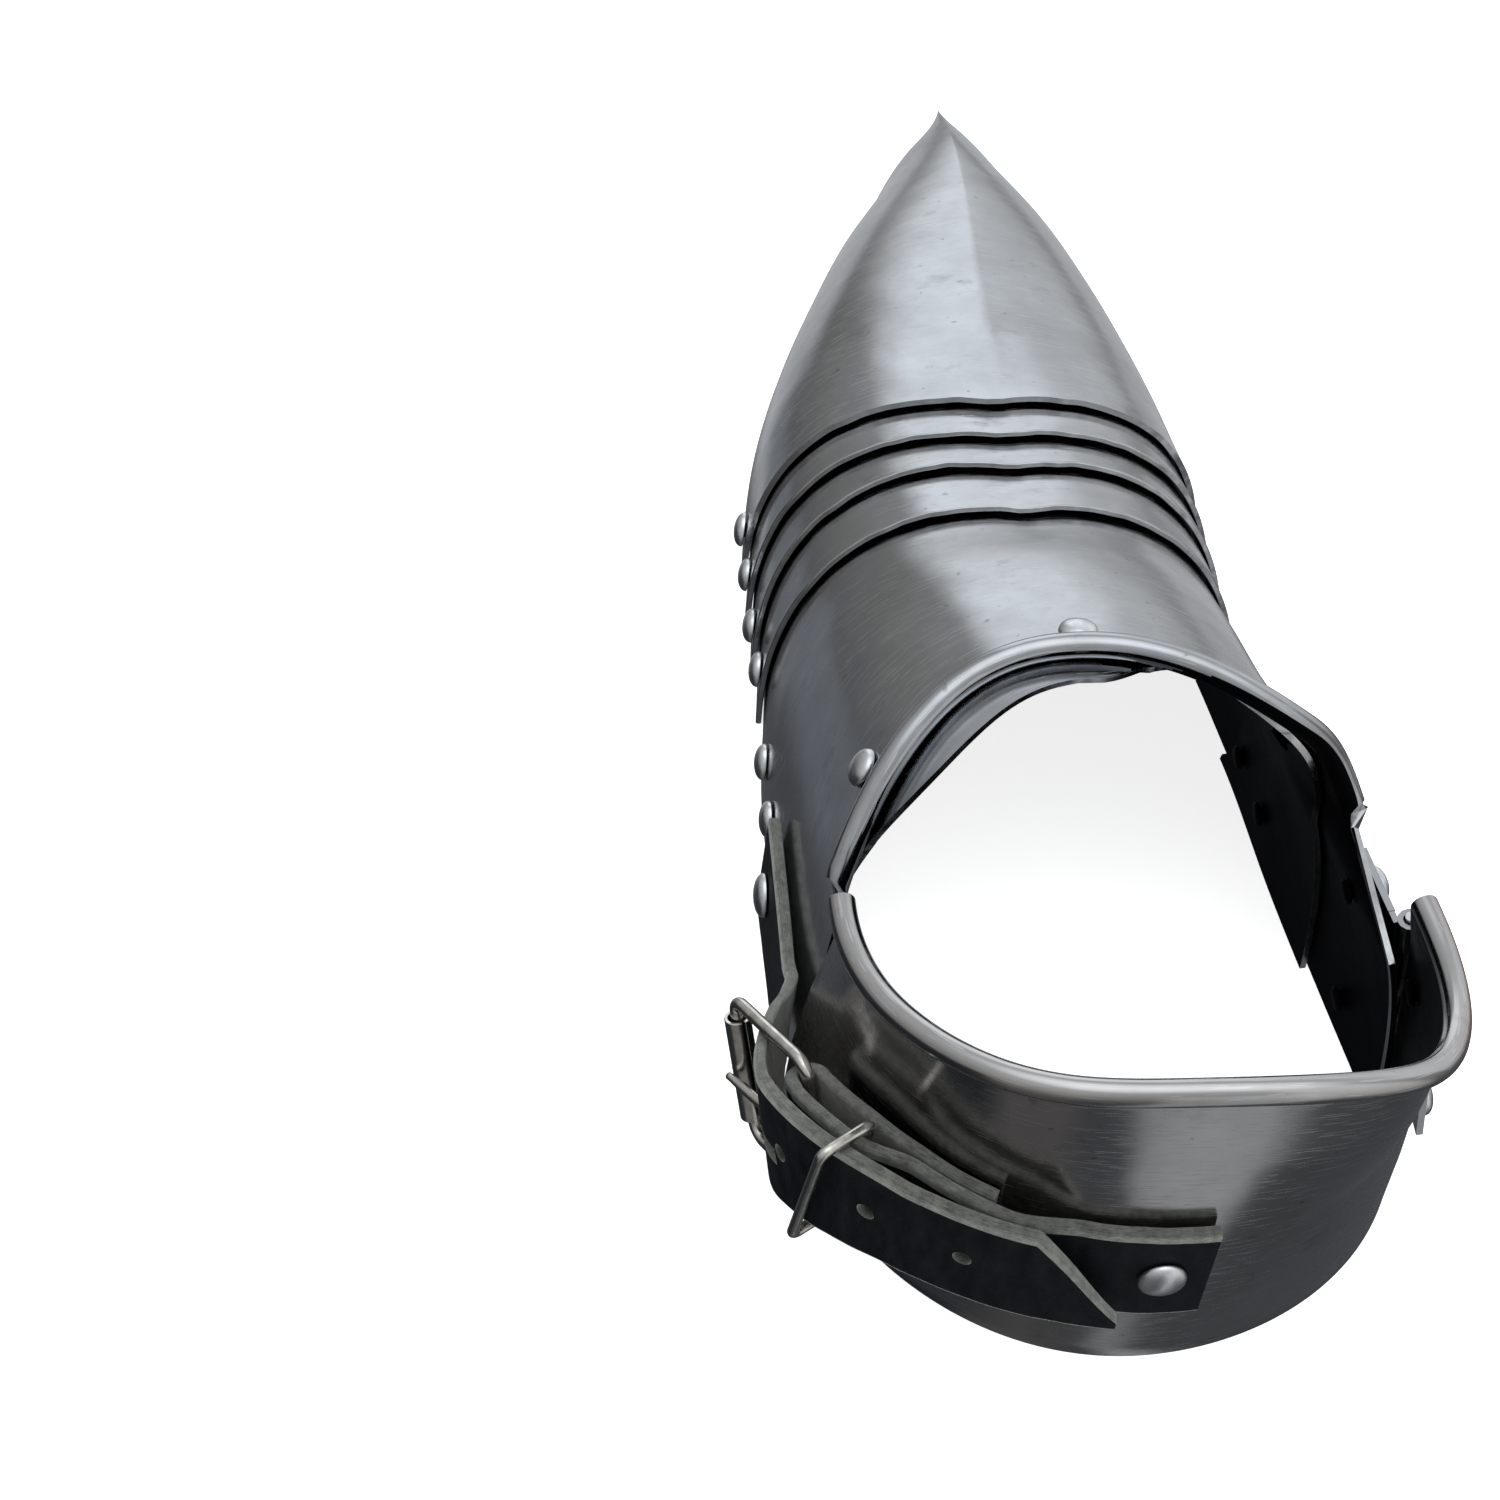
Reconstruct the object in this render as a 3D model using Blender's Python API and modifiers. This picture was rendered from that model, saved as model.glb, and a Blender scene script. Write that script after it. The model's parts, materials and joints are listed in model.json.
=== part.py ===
# One sabaton of a pair, the right-hand one as they stand: steel plates, rivets, a hinge and a buckled strap.
# +Y points to the toe, +X to the hinge side, -X to the strap side, +Z up.
# Every plate stands on its lower edge at z = 0. Lengths are in millimetres until a mesh is made.
import math

import bmesh
import bpy
import numpy as np
from mathutils import Matrix, Vector
from mathutils.bvhtree import BVHTree

MM = 0.001

# Steel sheet and how the plates lie over each other.
SHEET = 1.2                 # 18 gauge
TOUCH = 0.35                # play between pieces that lie on each other
FLEX_PLAY = 1.0             # play under the crest of a plate that slides over the next
OVERLAP = 11.0              # how far a plate reaches under the one in front
FOOT_BAND = 2.0             # upright strip along every lower edge
CREASE_REACH = 8.0          # half width of the crease along the crest
ACROSS = 26                 # facets from one lower edge to the other

# Sideways shift of the centre line, to the hinge side: (how far, y where it starts, y where it is reached).
HEEL_SWAY = (7.0, 150.0, 55.0)
BALL_SWAY = (-1.6, 140.0, 200.0)
TOE_SWAY = (7.0, 205.0, 335.0)
ARCH_LEAN = 0.6             # share of the heel's sway that is lost at the crest of the instep
HINGE_SIDE_FULL = 0.55      # towards the heel the arch is fuller on the hinge side by this
HINGE_SIDE_WIDER = 0.02     # and wider by this share
SIDE_TURN = 0.8             # angle from the crest at which an arch has its side's own form

# Rear edge of the arches on the hinge side. It stands upright up to the top of an ear that carries the hinge, steps
# forward there, and is nearly upright again up to the crest: (share of the step, height share where it starts, where
# it ends).
EAR_STEP = (0.70, 0.54, 0.64)
ABOVE_EAR = (0.11, 0.62, 0.76)
TO_CREST = (0.19, 0.85, 1.0)

# Fasteners.
SHANK_RADIUS = 1.5
HOLE_RADIUS = 1.95
SMALL_DOME = 3.6
LARGE_DOME = 4.2
DOME_HEIGHT = 2.1
TAIL_RADIUS = 2.5
TAIL_HEIGHT = 0.9
RAY_START = 9.0             # a rivet's stack is looked for this far each way
PIVOT_HEIGHT = 11.0         # pivot rivets above the floor
PIVOT_INSET = 5.5           # pivot rivets in front of their plate's rear edge

SIDE_RIVETS = (136.0, 120.5)            # y of the rivets that join instep plate and ankle plate low on each side
SIDE_RIVET_HEIGHT = 12.0
RIM_RIVETS = {"strap": (90.0, 61.0), "hinge": (99.0, 60.0)}     # y and height
CREST_RIVET = (103.5, 1.5)              # y and x

# Leather and wire.
STRAP_WIDTH = 24.0
LEATHER = 2.3
WIRE = 2.4
KEEPER_WIRE = 2.0
KEEPER_PLAY = 1.0           # play of the keeper round the straps
KEEPER_CORNER = 1.6
BUCKLE_SIDE = 2.6           # how far the buckle frame stands out past the strap's edges
BUCKLE_CORNER = 3.0
ROLLER_SHORT = 4.0          # how much shorter than the frame the roller is, at each end
ROLLER_LIFT = 2.2           # play between the strap and the roller
TONGUE_WIRE = 2.0
TONGUE_SLOT = (17.0, 3.4, 16.0)         # length, width and depth of the slot in the strap
TONGUE_SLOT_AT = (-7.5, 3.5)            # its middle: along from the buckle's bar, and out from it
CHAPE_SLOT = (13.0, 4.4, 9.6)           # the slot for the tongue in the chape's fold
STRAP_HOLE_RADIUS = 1.5
ROLLER_RADIUS = 2.4

# The whole sabaton is centred over its origin by these.
CENTRE_X = 3.45
CENTRE_Y = 167.78

# Rear edge of each plate in front of the instep plate, measured on its outer face:
# y at the floor, y at the crest, half width, crest height, fullness.
REAR_EDGES = {
    "toe_cap": (196.5, 193.7, 48.3, 57.2, 2.58),
    "lame_1": (183.0, 183.0, 48.6, 57.9, 2.53),
    "lame_2": (168.5, 172.7, 48.8, 59.2, 2.48),
    "lame_3": (156.5, 157.3, 48.8, 62.0, 2.38),
}
INSTEP_CREASE = 0.4
NOSE_CREASE = 0.8           # height of the crease at the point of the toe
TOE_CREASE = 1.6            # and along the rest of the toe cap
EDGE_CREASE = 0.5           # drop of those rear edges beside the crest line
EDGE_CUSP = 2.2             # how far they are drawn back at the crest line

# Sections of the toe cap in front of its rear edge: y, half width, crest height, fullness.
TOE_SECTIONS = [
    (341.0, 0.0, 16.0, 1.60),
    (327.0, 12.8, 22.6, 1.60),
    (311.0, 19.6, 29.4, 1.68),
    (292.0, 27.8, 35.9, 1.85),
    (270.0, 34.2, 42.2, 2.08),
    (247.0, 40.2, 47.4, 2.27),
    (222.0, 45.4, 52.3, 2.42),
]

# Sections of the instep plate behind its front: y floor, y crest, half width, height, fullness, sweep.
INSTEP_SECTIONS = [
    (136.0, 136.0, 49.6, 69.0, 2.32, 1.4),
    (110.0, 121.0, 50.8, 74.8, 2.34, 1.8),
    (82.0, 108.0, 52.3, 79.2, 2.38, 2.4),
    (57.0, 97.5, 53.5, 82.6, 2.42, 2.6),
]
ANKLE_FRONT = (146.0, 122.0)    # front edge of the ankle plate, floor and crest
ANKLE_REAR = (74.0, 92.5)       # rear edge of the ankle plate, floor and crest
ANKLE_REAR_SWEEP = 13.0         # how late that edge swings forward on its way up
ANKLE_HINGE_FORWARD = (17.0, 2.0, 28.0)     # how far that edge runs forward on the hinge side, from x, to x
ANKLE_PLAY = 0.6                # play between the ankle plate and the instep plate over it

# Heel plate, by height: height, half width of the strap side and of the hinge side, y of its front edge on the
# strap side and on the hinge side, y of its back, fullness of the strap side and of the hinge side.
HEEL_LEVELS = [
    (0.0, 56.0, 57.0, 64.0, 60.0, 5.0, 1.90, 2.02),
    (20.0, 55.7, 56.6, 61.0, 60.0, 2.0, 1.98, 2.06),
    (40.0, 54.1, 54.6, 57.5, 59.0, 1.2, 2.05, 2.25),
    (60.0, 51.6, 51.4, 53.5, 53.5, 2.2, 2.10, 3.00),
    (86.0, 49.2, 49.2, 48.0, 48.0, 4.5, 2.12, 3.50),
]
HEEL_PINCH = 3.6            # how far the hinge side's front end is drawn in
HEEL_PINCH_HEIGHT = 70.0    # at this height; below it the pinch fades
HEEL_TOP_BACK = 80.5
HEEL_TOP_STRAP = 71.0
HEEL_TOP_HINGE = 66.0

# Rolled edges: length of sheet taken up by the roll and how far it turns.
ROLL_LENGTH = 5.6
ROLL_TURN = math.radians(268)
ROLL_STEPS = 6
EDGE_FLAT = 0.35            # share of that length where the edge stays flat
ROLL_LOW = 49.0             # the instep plate's edge is flat below this height
ROLL_FULL = 57.0            # and fully rolled above this one

# Strap route: place along the side (see side_route), height of its middle, gap under it.
STRAP_ROUTE = [
    (0.0, 14.0, 0.5),
    (24.0, 15.0, 0.6),
    (36.0, 16.0, 0.9),
    (46.0, 18.4, 1.5),
    (56.0, 22.0, 2.0),
    (66.0, 27.0, 6.2),
    (76.0, 32.2, 10.2),
    (86.0, 36.4, 10.8),
    (98.0, 38.2, 8.8),
    (112.0, 38.2, 7.0),
    (126.0, 38.0, 5.8),
    (136.0, 37.0, 5.0),
]
# Chape: place along the side, height of its middle, gap under it.
CHAPE_ROUTE = [
    (56.0, 22.0, 2.0),
    (79.0, 31.5, 2.0),
    (90.0, 36.0, 1.6),
    (100.0, 37.0, 0.8),
    (112.0, 36.8, 0.5),
    (130.0, 35.2, 0.5),
    (150.0, 34.2, 0.5),
]
STRAP_START = 4.0
STRAP_END = 136.0
STRAP_POINT = 14.0          # length of the slanting end
STRAP_TIP = 2.5             # what is left of its width at the tip
STRAP_HOLES = (81.0, 97.0, 112.0)
BUCKLE_FRONT = 58.5         # roller, along the side route
BUCKLE_REAR = 79.0          # bar held in the chape
KEEPER_AT = 89.0
KEEPER_SKEW = math.radians(18)    # its upper end stands further back than its lower one
CHAPE_END = 150.0
CHAPE_FOLD_END = 113.0
CHAPE_GAP = 3.5             # room for wire between the two layers of the chape
CHAPE_RIVET_AT = 142.0
STRAP_RIVET_AT = 13.0

# Hinge of the heel plate.
HINGE_MID_Z = 26.0
HINGE_HEIGHT = 42.0
HINGE_LEAF_FRONT = 18.0
HINGE_LEAF_REAR = 17.5
HINGE_SHEET = 1.3
HINGE_RADIUS = 2.5
HINGE_PIN_RADIUS = 1.1
HINGE_SEAT = 1.15           # play between the front leaf and the curved plate under it
HINGE_SEAT_REAR = 0.7       # the same for the rear leaf, at its front end
HINGE_AXIS_OUT = 4.4        # axis off the instep plate
HINGE_RIVET_FRONT = 12.8    # rivets in front of the hinge's axis
HINGE_RIVET_REAR = 12.6     # and behind it
HINGE_RIVET_UP = 16.0       # rivets above and below the hinge's middle

COLOURS = {
    "polished_steel": ((0.36, 0.36, 0.37, 1), 1.0, 0.28),
    "rivet_steel": ((0.62, 0.63, 0.65, 1), 1.0, 0.25),
    "black_leather": ((0.012, 0.013, 0.016, 1), 0.0, 0.55),
    "nickel_wire": ((0.60, 0.59, 0.55, 1), 1.0, 0.22),
}


def clear_scene():
    for thing in list(bpy.data.objects):
        bpy.data.objects.remove(thing)


def make_material(name):
    colour, metallic, roughness = COLOURS[name]
    material = bpy.data.materials.new(name)
    material.use_nodes = True
    shader = material.node_tree.nodes["Principled BSDF"]
    shader.inputs["Base Color"].default_value = colour
    shader.inputs["Metallic"].default_value = metallic
    shader.inputs["Roughness"].default_value = roughness
    return material


def add_object(name, mesh, material, parent, collection):
    thing = bpy.data.objects.new(name, mesh)
    collection.objects.link(thing)
    if material is not None:
        mesh.materials.append(material)
    if parent is not None:
        thing.parent = parent
        thing.matrix_parent_inverse = parent.matrix_world.inverted()
    return thing


def finish_mesh(name, form):
    bmesh.ops.remove_doubles(form, verts=form.verts, dist=0.00002)
    mesh = bpy.data.meshes.new(name)
    form.to_mesh(mesh)
    form.free()
    mesh.shade_smooth()
    mesh.set_sharp_from_angle(angle=math.radians(35))
    return mesh


def grid_mesh(name, points):
    # An open surface through a grid of points; rows run along the plate, columns across it.
    rows, columns = points.shape[:2]
    form = bmesh.new()
    verts = [form.verts.new(Vector(p) * MM) for p in points.reshape(-1, 3)]
    for row in range(rows - 1):
        for column in range(columns - 1):
            corner = row * columns + column
            face = [corner, corner + columns, corner + columns + 1, corner + 1]
            form.faces.new([verts[i] for i in face])
    return finish_mesh(name, form)


def ribbon_mesh(name, loops):
    # A closed solid from a row of four-cornered sections.
    form = bmesh.new()
    rings = [[form.verts.new(Vector(p) * MM) for p in loop] for loop in loops]
    for one, two in zip(rings[:-1], rings[1:]):
        for k in range(4):
            form.faces.new([one[k], one[(k + 1) % 4], two[(k + 1) % 4], two[k]])
    form.faces.new(rings[0][::-1])
    form.faces.new(rings[-1])
    bmesh.ops.recalc_face_normals(form, faces=form.faces)
    return finish_mesh(name, form)


def smooth(values, places):
    # Hermite curve through evenly numbered values.
    values = np.asarray(values, float)
    slopes = np.gradient(values, axis=0)
    left = np.clip(np.floor(places).astype(int), 0, len(values) - 2)
    t = (places - left)[:, None] if values.ndim > 1 else places - left
    a, b = values[left], values[left + 1]
    return (a * (2 * t**3 - 3 * t**2 + 1) + b * (3 * t**2 - 2 * t**3)
            + slopes[left] * (t**3 - 2 * t**2 + t) + slopes[left + 1] * (t**3 - t**2))


def soft_step(t):
    t = np.clip(t, 0, 1)
    return t * t * (3 - 2 * t)


def part_way(y, start, end):
    # 0 at one place and 1 at the other, smooth between.
    return soft_step((y - start) / (end - start))


def heel_share(y):
    # 0 in front of the ankle, 1 at the heel.
    return np.clip((HEEL_SWAY[1] - y) / (HEEL_SWAY[1] - HEEL_SWAY[2]), 0, 1) ** 1.5


def sway(y, share=0.0):
    # Sideways shift of the centre line; the heel's part of it fades towards the crest of an arch.
    heel = HEEL_SWAY[0] * heel_share(y) * (1 - ARCH_LEAN * share)
    return heel + BALL_SWAY[0] * part_way(y, *BALL_SWAY[1:]) + TOE_SWAY[0] * part_way(y, *TOE_SWAY[1:])


def rear_rise(share, sweep, hinge_side):
    # How far an edge has swung forward at a share of the arch's height.
    stepped = EAR_STEP[0] * part_way(share, *EAR_STEP[1:]) + ABOVE_EAR[0] * part_way(share, *ABOVE_EAR[1:])
    stepped = stepped + TO_CREST[0] * np.clip((share - TO_CREST[1]) / (TO_CREST[2] - TO_CREST[1]), 0, 1) ** 2
    return share ** sweep * (1 - hinge_side) + stepped * hinge_side


def arch(section):
    # One arched section: a superellipse from lower edge to lower edge, with a soft crease at the crest.
    y_floor, y_crest, half, height, fullness, sweep, keel, cusp = section
    start = math.acos((FOOT_BAND / height) ** (fullness / 2))
    angle = np.linspace(-start, start, ACROSS - 1)
    hinge_side = heel_share(y_floor) * soft_step(angle / SIDE_TURN)
    power = 2.0 / (fullness + HINGE_SIDE_FULL * hinge_side)
    z = height * np.cos(angle) ** power
    x = half * np.sign(angle) * np.abs(np.sin(angle)) ** power
    x = x * np.where(x > 0, 1 + HINGE_SIDE_WIDER * heel_share(y_floor), 1.0)
    share = z / height
    crease = np.exp(-np.abs(x) / CREASE_REACH)
    y = y_floor + (y_crest - y_floor) * rear_rise(share, sweep, hinge_side) - cusp * crease * share ** 2
    z = z - keel * (1 - crease) * share ** 2
    z[0] = z[-1] = FOOT_BAND
    points = np.stack([x + sway(y, share), y, z], 1)
    ends = points[[0, -1]] * (1, 1, 0)
    return np.vstack([ends[:1], points, ends[1:]])


def surface(name, sections, rows):
    sections = np.asarray(sections, float)
    places = np.linspace(0, len(sections) - 1, rows)
    if name == "toe_cap":
        places = np.concatenate([[0.0], np.linspace(1, len(sections) - 1, rows - 1)])
    return np.stack([arch(s) for s in smooth(sections, places)])


def outward(points):
    # The outward direction at every point of a plate's outer face.
    out = np.cross(np.gradient(points, axis=0), np.gradient(points, axis=1))
    return out / np.maximum(np.linalg.norm(out, axis=2), 1e-9)[:, :, None]


def ankle_points(instep):
    # The ankle plate follows the instep plate's outer face, moved in by a sheet and their play.
    edge = instep[-1]
    share = edge[:, 2] / edge[:, 2].max()
    rear = ANKLE_REAR[0] + (ANKLE_REAR[1] - ANKLE_REAR[0]) * share ** ANKLE_REAR_SWEEP
    rear = rear + ANKLE_HINGE_FORWARD[0] * part_way(edge[:, 0], *ANKLE_HINGE_FORWARD[1:])
    front = ANKLE_FRONT[0] + (ANKLE_FRONT[1] - ANKLE_FRONT[0]) * share
    points = np.zeros((ROWS["ankle_plate"], len(edge), 3))
    for row, part in enumerate(np.linspace(0, 1, ROWS["ankle_plate"])):
        points[row, :, 1] = front + (rear - front) * part
        for column, y in enumerate(points[row, :, 1]):
            line = instep[::-1, column]
            points[row, column, [0, 2]] = [np.interp(y, line[:, 1], line[:, k]) for k in (0, 2)]
    upright = np.where(points[:, :, 2:] < FOOT_BAND + 0.01, 0.0, 1.0) * (0, 0, 1) + (1, 1, 0)
    return points - outward(points) * upright * (SHEET + ANKLE_PLAY)


def roll_edge(points, share, flat=EDGE_FLAT):
    # Carries the last row on by a strip that curls outwards; share says how much of the turn each column takes, and
    # flat how much of the strip's length is left where there is no turn.
    edge = points[-1]
    along = points[-1] - points[-2]
    along /= np.linalg.norm(along, axis=1)[:, None]
    out = np.cross(along, np.gradient(edge, axis=0))
    out /= np.linalg.norm(out, axis=1)[:, None]
    level = np.where(share > 0, 1.0, 0.0)[:, None] * (0, 0, 1) + (1, 1, 0)
    along = along * level
    out = out * level
    rows = [points]
    for step in range(1, ROLL_STEPS + 1):
        angle = ROLL_TURN * share * step / ROLL_STEPS
        run = (ROLL_LENGTH * (flat + (1 - flat) * share) * step / ROLL_STEPS)[:, None]
        curl = np.where(angle > 1e-6, np.sin(angle) / np.maximum(angle, 1e-6), 1.0)
        lift = np.where(angle > 1e-6, (1 - np.cos(angle)) / np.maximum(angle, 1e-6), 0.0)
        rows.append((edge + run * (along * curl[:, None] + out * lift[:, None]))[None])
    return np.concatenate(rows)


def inset(section):
    # The outer face of the plate that lies under this one.
    shifted = np.array(section, float)
    shifted[2] -= SHEET + TOUCH
    shifted[3] -= SHEET + FLEX_PLAY
    return shifted


def section_at(sections, y_floor):
    sections = np.asarray(sections, float)
    order = np.argsort(sections[:, 0])
    return np.array([np.interp(y_floor, sections[order, 0], sections[order, k]) for k in range(sections.shape[1])])


def plate_sections():
    # Outer face of every arched plate, front to rear.
    edges = {name: np.array([*row, 1.0, EDGE_CREASE, EDGE_CUSP]) for name, row in REAR_EDGES.items()}
    plates = {}
    plates["toe_cap"] = [np.array([y, y, half, height, full, 1.0, TOE_CREASE if half else NOSE_CREASE, 0.0])
                         for y, half, height, full in TOE_SECTIONS] + [edges["toe_cap"]]
    before = "toe_cap"
    for name in ("lame_1", "lame_2", "lame_3"):
        line = edges[before]
        hidden = inset(section_at(plates[before], line[0] + OVERLAP))
        plates[name] = [hidden, inset(line), edges[name]]
        before = name
    line = edges["lame_3"]
    hidden = inset(section_at(plates["lame_3"], line[0] + OVERLAP))
    rear = [np.array([*row, INSTEP_CREASE, 0.0]) for row in INSTEP_SECTIONS]
    plates["instep_plate"] = [hidden, inset(line), *rear]
    return plates


ROWS = {"toe_cap": 14, "lame_1": 4, "lame_2": 4, "lame_3": 4, "instep_plate": 13, "ankle_plate": 9}


def plate_points(plates):
    points = {name: surface(name, sections, ROWS[name]) for name, sections in plates.items()}
    rim = points["instep_plate"]
    points["ankle_plate"] = ankle_points(rim)
    points["instep_plate"] = roll_edge(rim, part_way(rim[-1][:, 2], ROLL_LOW, ROLL_FULL))
    return points


def heel_level(z):
    table = np.array(HEEL_LEVELS)
    return [np.interp(z, table[:, 0], smooth_column) for smooth_column in table[:, 1:].T]


def heel_point(angle, z):
    # angle 0 is the back, -90 degrees the strap side's front edge, +90 the hinge side's.
    strap_half, hinge_half, strap_front, hinge_front, back, strap_full, hinge_full = heel_level(z)
    blend = 0.5 + 0.5 * np.sin(np.clip(angle * 1.5, -math.pi / 2, math.pi / 2))
    half = strap_half + (hinge_half - strap_half) * blend
    front = strap_front + (hinge_front - strap_front) * blend
    power = 2.0 / (strap_full + (hinge_full - strap_full) * blend)
    x = half * np.sign(np.sin(angle)) * np.abs(np.sin(angle)) ** power
    forward = 1 - np.abs(np.cos(angle)) ** power
    y = back + (front - back) * forward
    x = x - HEEL_PINCH * (angle > 0) * np.clip(forward, 0, 1) ** 3 * (z / HEEL_PINCH_HEIGHT) ** 4
    return np.stack([x + sway(y), y, z + 0 * x], -1)


def heel_points():
    angles = np.linspace(-math.pi / 2, math.pi / 2, ACROSS + 3)
    ends = np.where(angles < 0, HEEL_TOP_STRAP, HEEL_TOP_HINGE)
    top = HEEL_TOP_BACK + (ends - HEEL_TOP_BACK) * np.sin(angles) ** 2
    rows = [heel_point(angles, 0 * top + FOOT_BAND) * (1, 1, 0)]
    for share in np.linspace(0, 1, 9):
        rows.append(heel_point(angles, FOOT_BAND + (top - FOOT_BAND) * share))
    points = np.stack(rows)[:, ::-1]
    return roll_edge(points, np.ones(points.shape[1]))


def instep_side(sections, y, z, hinge_side=False):
    # Half width of a plate's outer face at y and z, and the share of its crest's height.
    fine = smooth(np.asarray(sections, float), np.linspace(0, len(sections) - 1, 200))
    share = np.clip(z / fine[:, 3], 0, 0.999)
    more = heel_share(fine[:, 0]) * hinge_side
    at_y = fine[:, 0] + (fine[:, 1] - fine[:, 0]) * rear_rise(share, fine[:, 5], more)
    full = fine[:, 4] + HINGE_SIDE_FULL * more
    half = fine[:, 2] * (1 + HINGE_SIDE_WIDER * more) * (1 - share ** full) ** (1 / full)
    order = np.argsort(at_y)
    return np.interp(y, at_y[order], half[order]), np.interp(y, at_y[order], share[order])


def side_route(sections, z):
    # The outer plan of the strap side at one height: instep plate, then heel plate round to the hinge side.
    y_front = np.linspace(112.0, 66.0, 24)
    half, share = instep_side(sections, y_front, z)
    front = np.stack([-half + sway(y_front, share), y_front], 1)
    angles = np.linspace(-math.pi / 2 + 0.06, math.radians(40), 120)
    rear = heel_point(angles, np.full_like(angles, z))[:, :2]
    plan = np.vstack([front, rear])
    step = np.linalg.norm(np.diff(plan, axis=0), axis=1)
    return np.concatenate([[0], np.cumsum(step)]), plan


def slope_of(table, place, reach=4.0):
    # How steeply a strap climbs at a place along the side.
    low, high = np.interp([place - reach, place + reach], [row[0] for row in table], [row[1] for row in table])
    return math.atan2(high - low, 2 * reach)


def route_frame(sections, place, z, gap, slope=0.0):
    # Point at a distance along the side and a gap off it, with the outward direction, the direction across the
    # strap and the direction along it.
    spots = []
    for height in (z, z - 8.0, z + 8.0):
        run, plan = side_route(sections, height)
        spots.append([np.interp(place + shift, run, plan[:, k]) for shift in (-3.0, 3.0) for k in (0, 1)])
    middle, low, high = (np.array(s).reshape(2, 2) for s in spots)
    on = np.array([*middle.mean(0), z])
    ahead = np.array([*(middle[1] - middle[0]), 0.0])
    ahead /= np.linalg.norm(ahead)
    up = np.array([*(high.mean(0) - low.mean(0)), 16.0])
    up -= ahead * up.dot(ahead)
    up /= np.linalg.norm(up)
    out = np.cross(up, ahead)
    if out[0] * (on[0] - CENTRE_X) + out[1] * (on[1] - 60.0) < 0:
        out = -out
    along = ahead * math.cos(slope) + up * math.sin(slope)
    across = up * math.cos(slope) - ahead * math.sin(slope)
    return on + out * gap, out, across, along


def rivet_profile(radius, grip):
    # Half outline of a domed rivet, top to bottom; the dome sits at zero and the grip runs down.
    dome = [(radius * math.sin(t), DOME_HEIGHT * math.cos(t)) for t in (0.0, 0.55, 1.05, 1.5)]
    dome[0] = (0.0, DOME_HEIGHT)
    return [*dome, (radius, 0.0), (SHANK_RADIUS, 0.0), (SHANK_RADIUS, -grip),
            (TAIL_RADIUS, -grip), (TAIL_RADIUS - 0.3, -grip - TAIL_HEIGHT), (0.0, -grip - TAIL_HEIGHT)]


def rivet_mesh(name, radius, grip):
    form = bmesh.new()
    verts = [form.verts.new((x * MM, 0, z * MM)) for x, z in rivet_profile(radius, grip)]
    for one, two in zip(verts[:-1], verts[1:]):
        form.edges.new((one, two))
    mesh = bpy.data.meshes.new(name)
    form.to_mesh(mesh)
    form.free()
    return mesh


def turn_to(direction, place):
    matrix = Vector(direction).to_track_quat("Z", "Y").to_matrix().to_4x4()
    matrix.translation = Vector(place) * MM
    return matrix


def frame_matrix(spot, along, up, out):
    matrix = Matrix((Vector(along), Vector(up), Vector(out))).transposed().to_4x4()
    matrix.translation = Vector(spot) * MM
    return matrix


def block(frame, size):
    # A box of a given size round the origin of a frame.
    form = bmesh.new()
    scale = Matrix.Diagonal((*(np.array(size) * MM), 1))
    bmesh.ops.create_cube(form, size=1.0, matrix=frame @ scale)
    bmesh.ops.recalc_face_normals(form, faces=form.faces)
    return form


def surface_spot(points, y, z, side):
    # The place and outward direction on a plate's outer face nearest to y and z, on one side or on the crest.
    rows, columns = points.shape[:2]
    out = outward(points)
    fine = []
    for start in range(rows - 1):
        for t in np.linspace(0, 1, 12, endpoint=False):
            line = points[start] * (1 - t) + points[start + 1] * t
            normal = out[start] * (1 - t) + out[start + 1] * t
            for u in np.linspace(0, 1, 8, endpoint=False):
                fine.append(np.hstack([line[:-1] * (1 - u) + line[1:] * u, normal[:-1] * (1 - u) + normal[1:] * u]))
    fine = np.concatenate(fine)
    if side:
        fine = fine[(fine[:, 0] - sway(fine[:, 1])) * side > 5]
        miss = (fine[:, 1] - y) ** 2 + (fine[:, 2] - z) ** 2
    else:
        miss = (fine[:, 1] - y) ** 2 + (fine[:, 0] - z) ** 2
    best = fine[np.argmin(miss)]
    normal = best[3:] / np.linalg.norm(best[3:])
    return best[:3], normal


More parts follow.
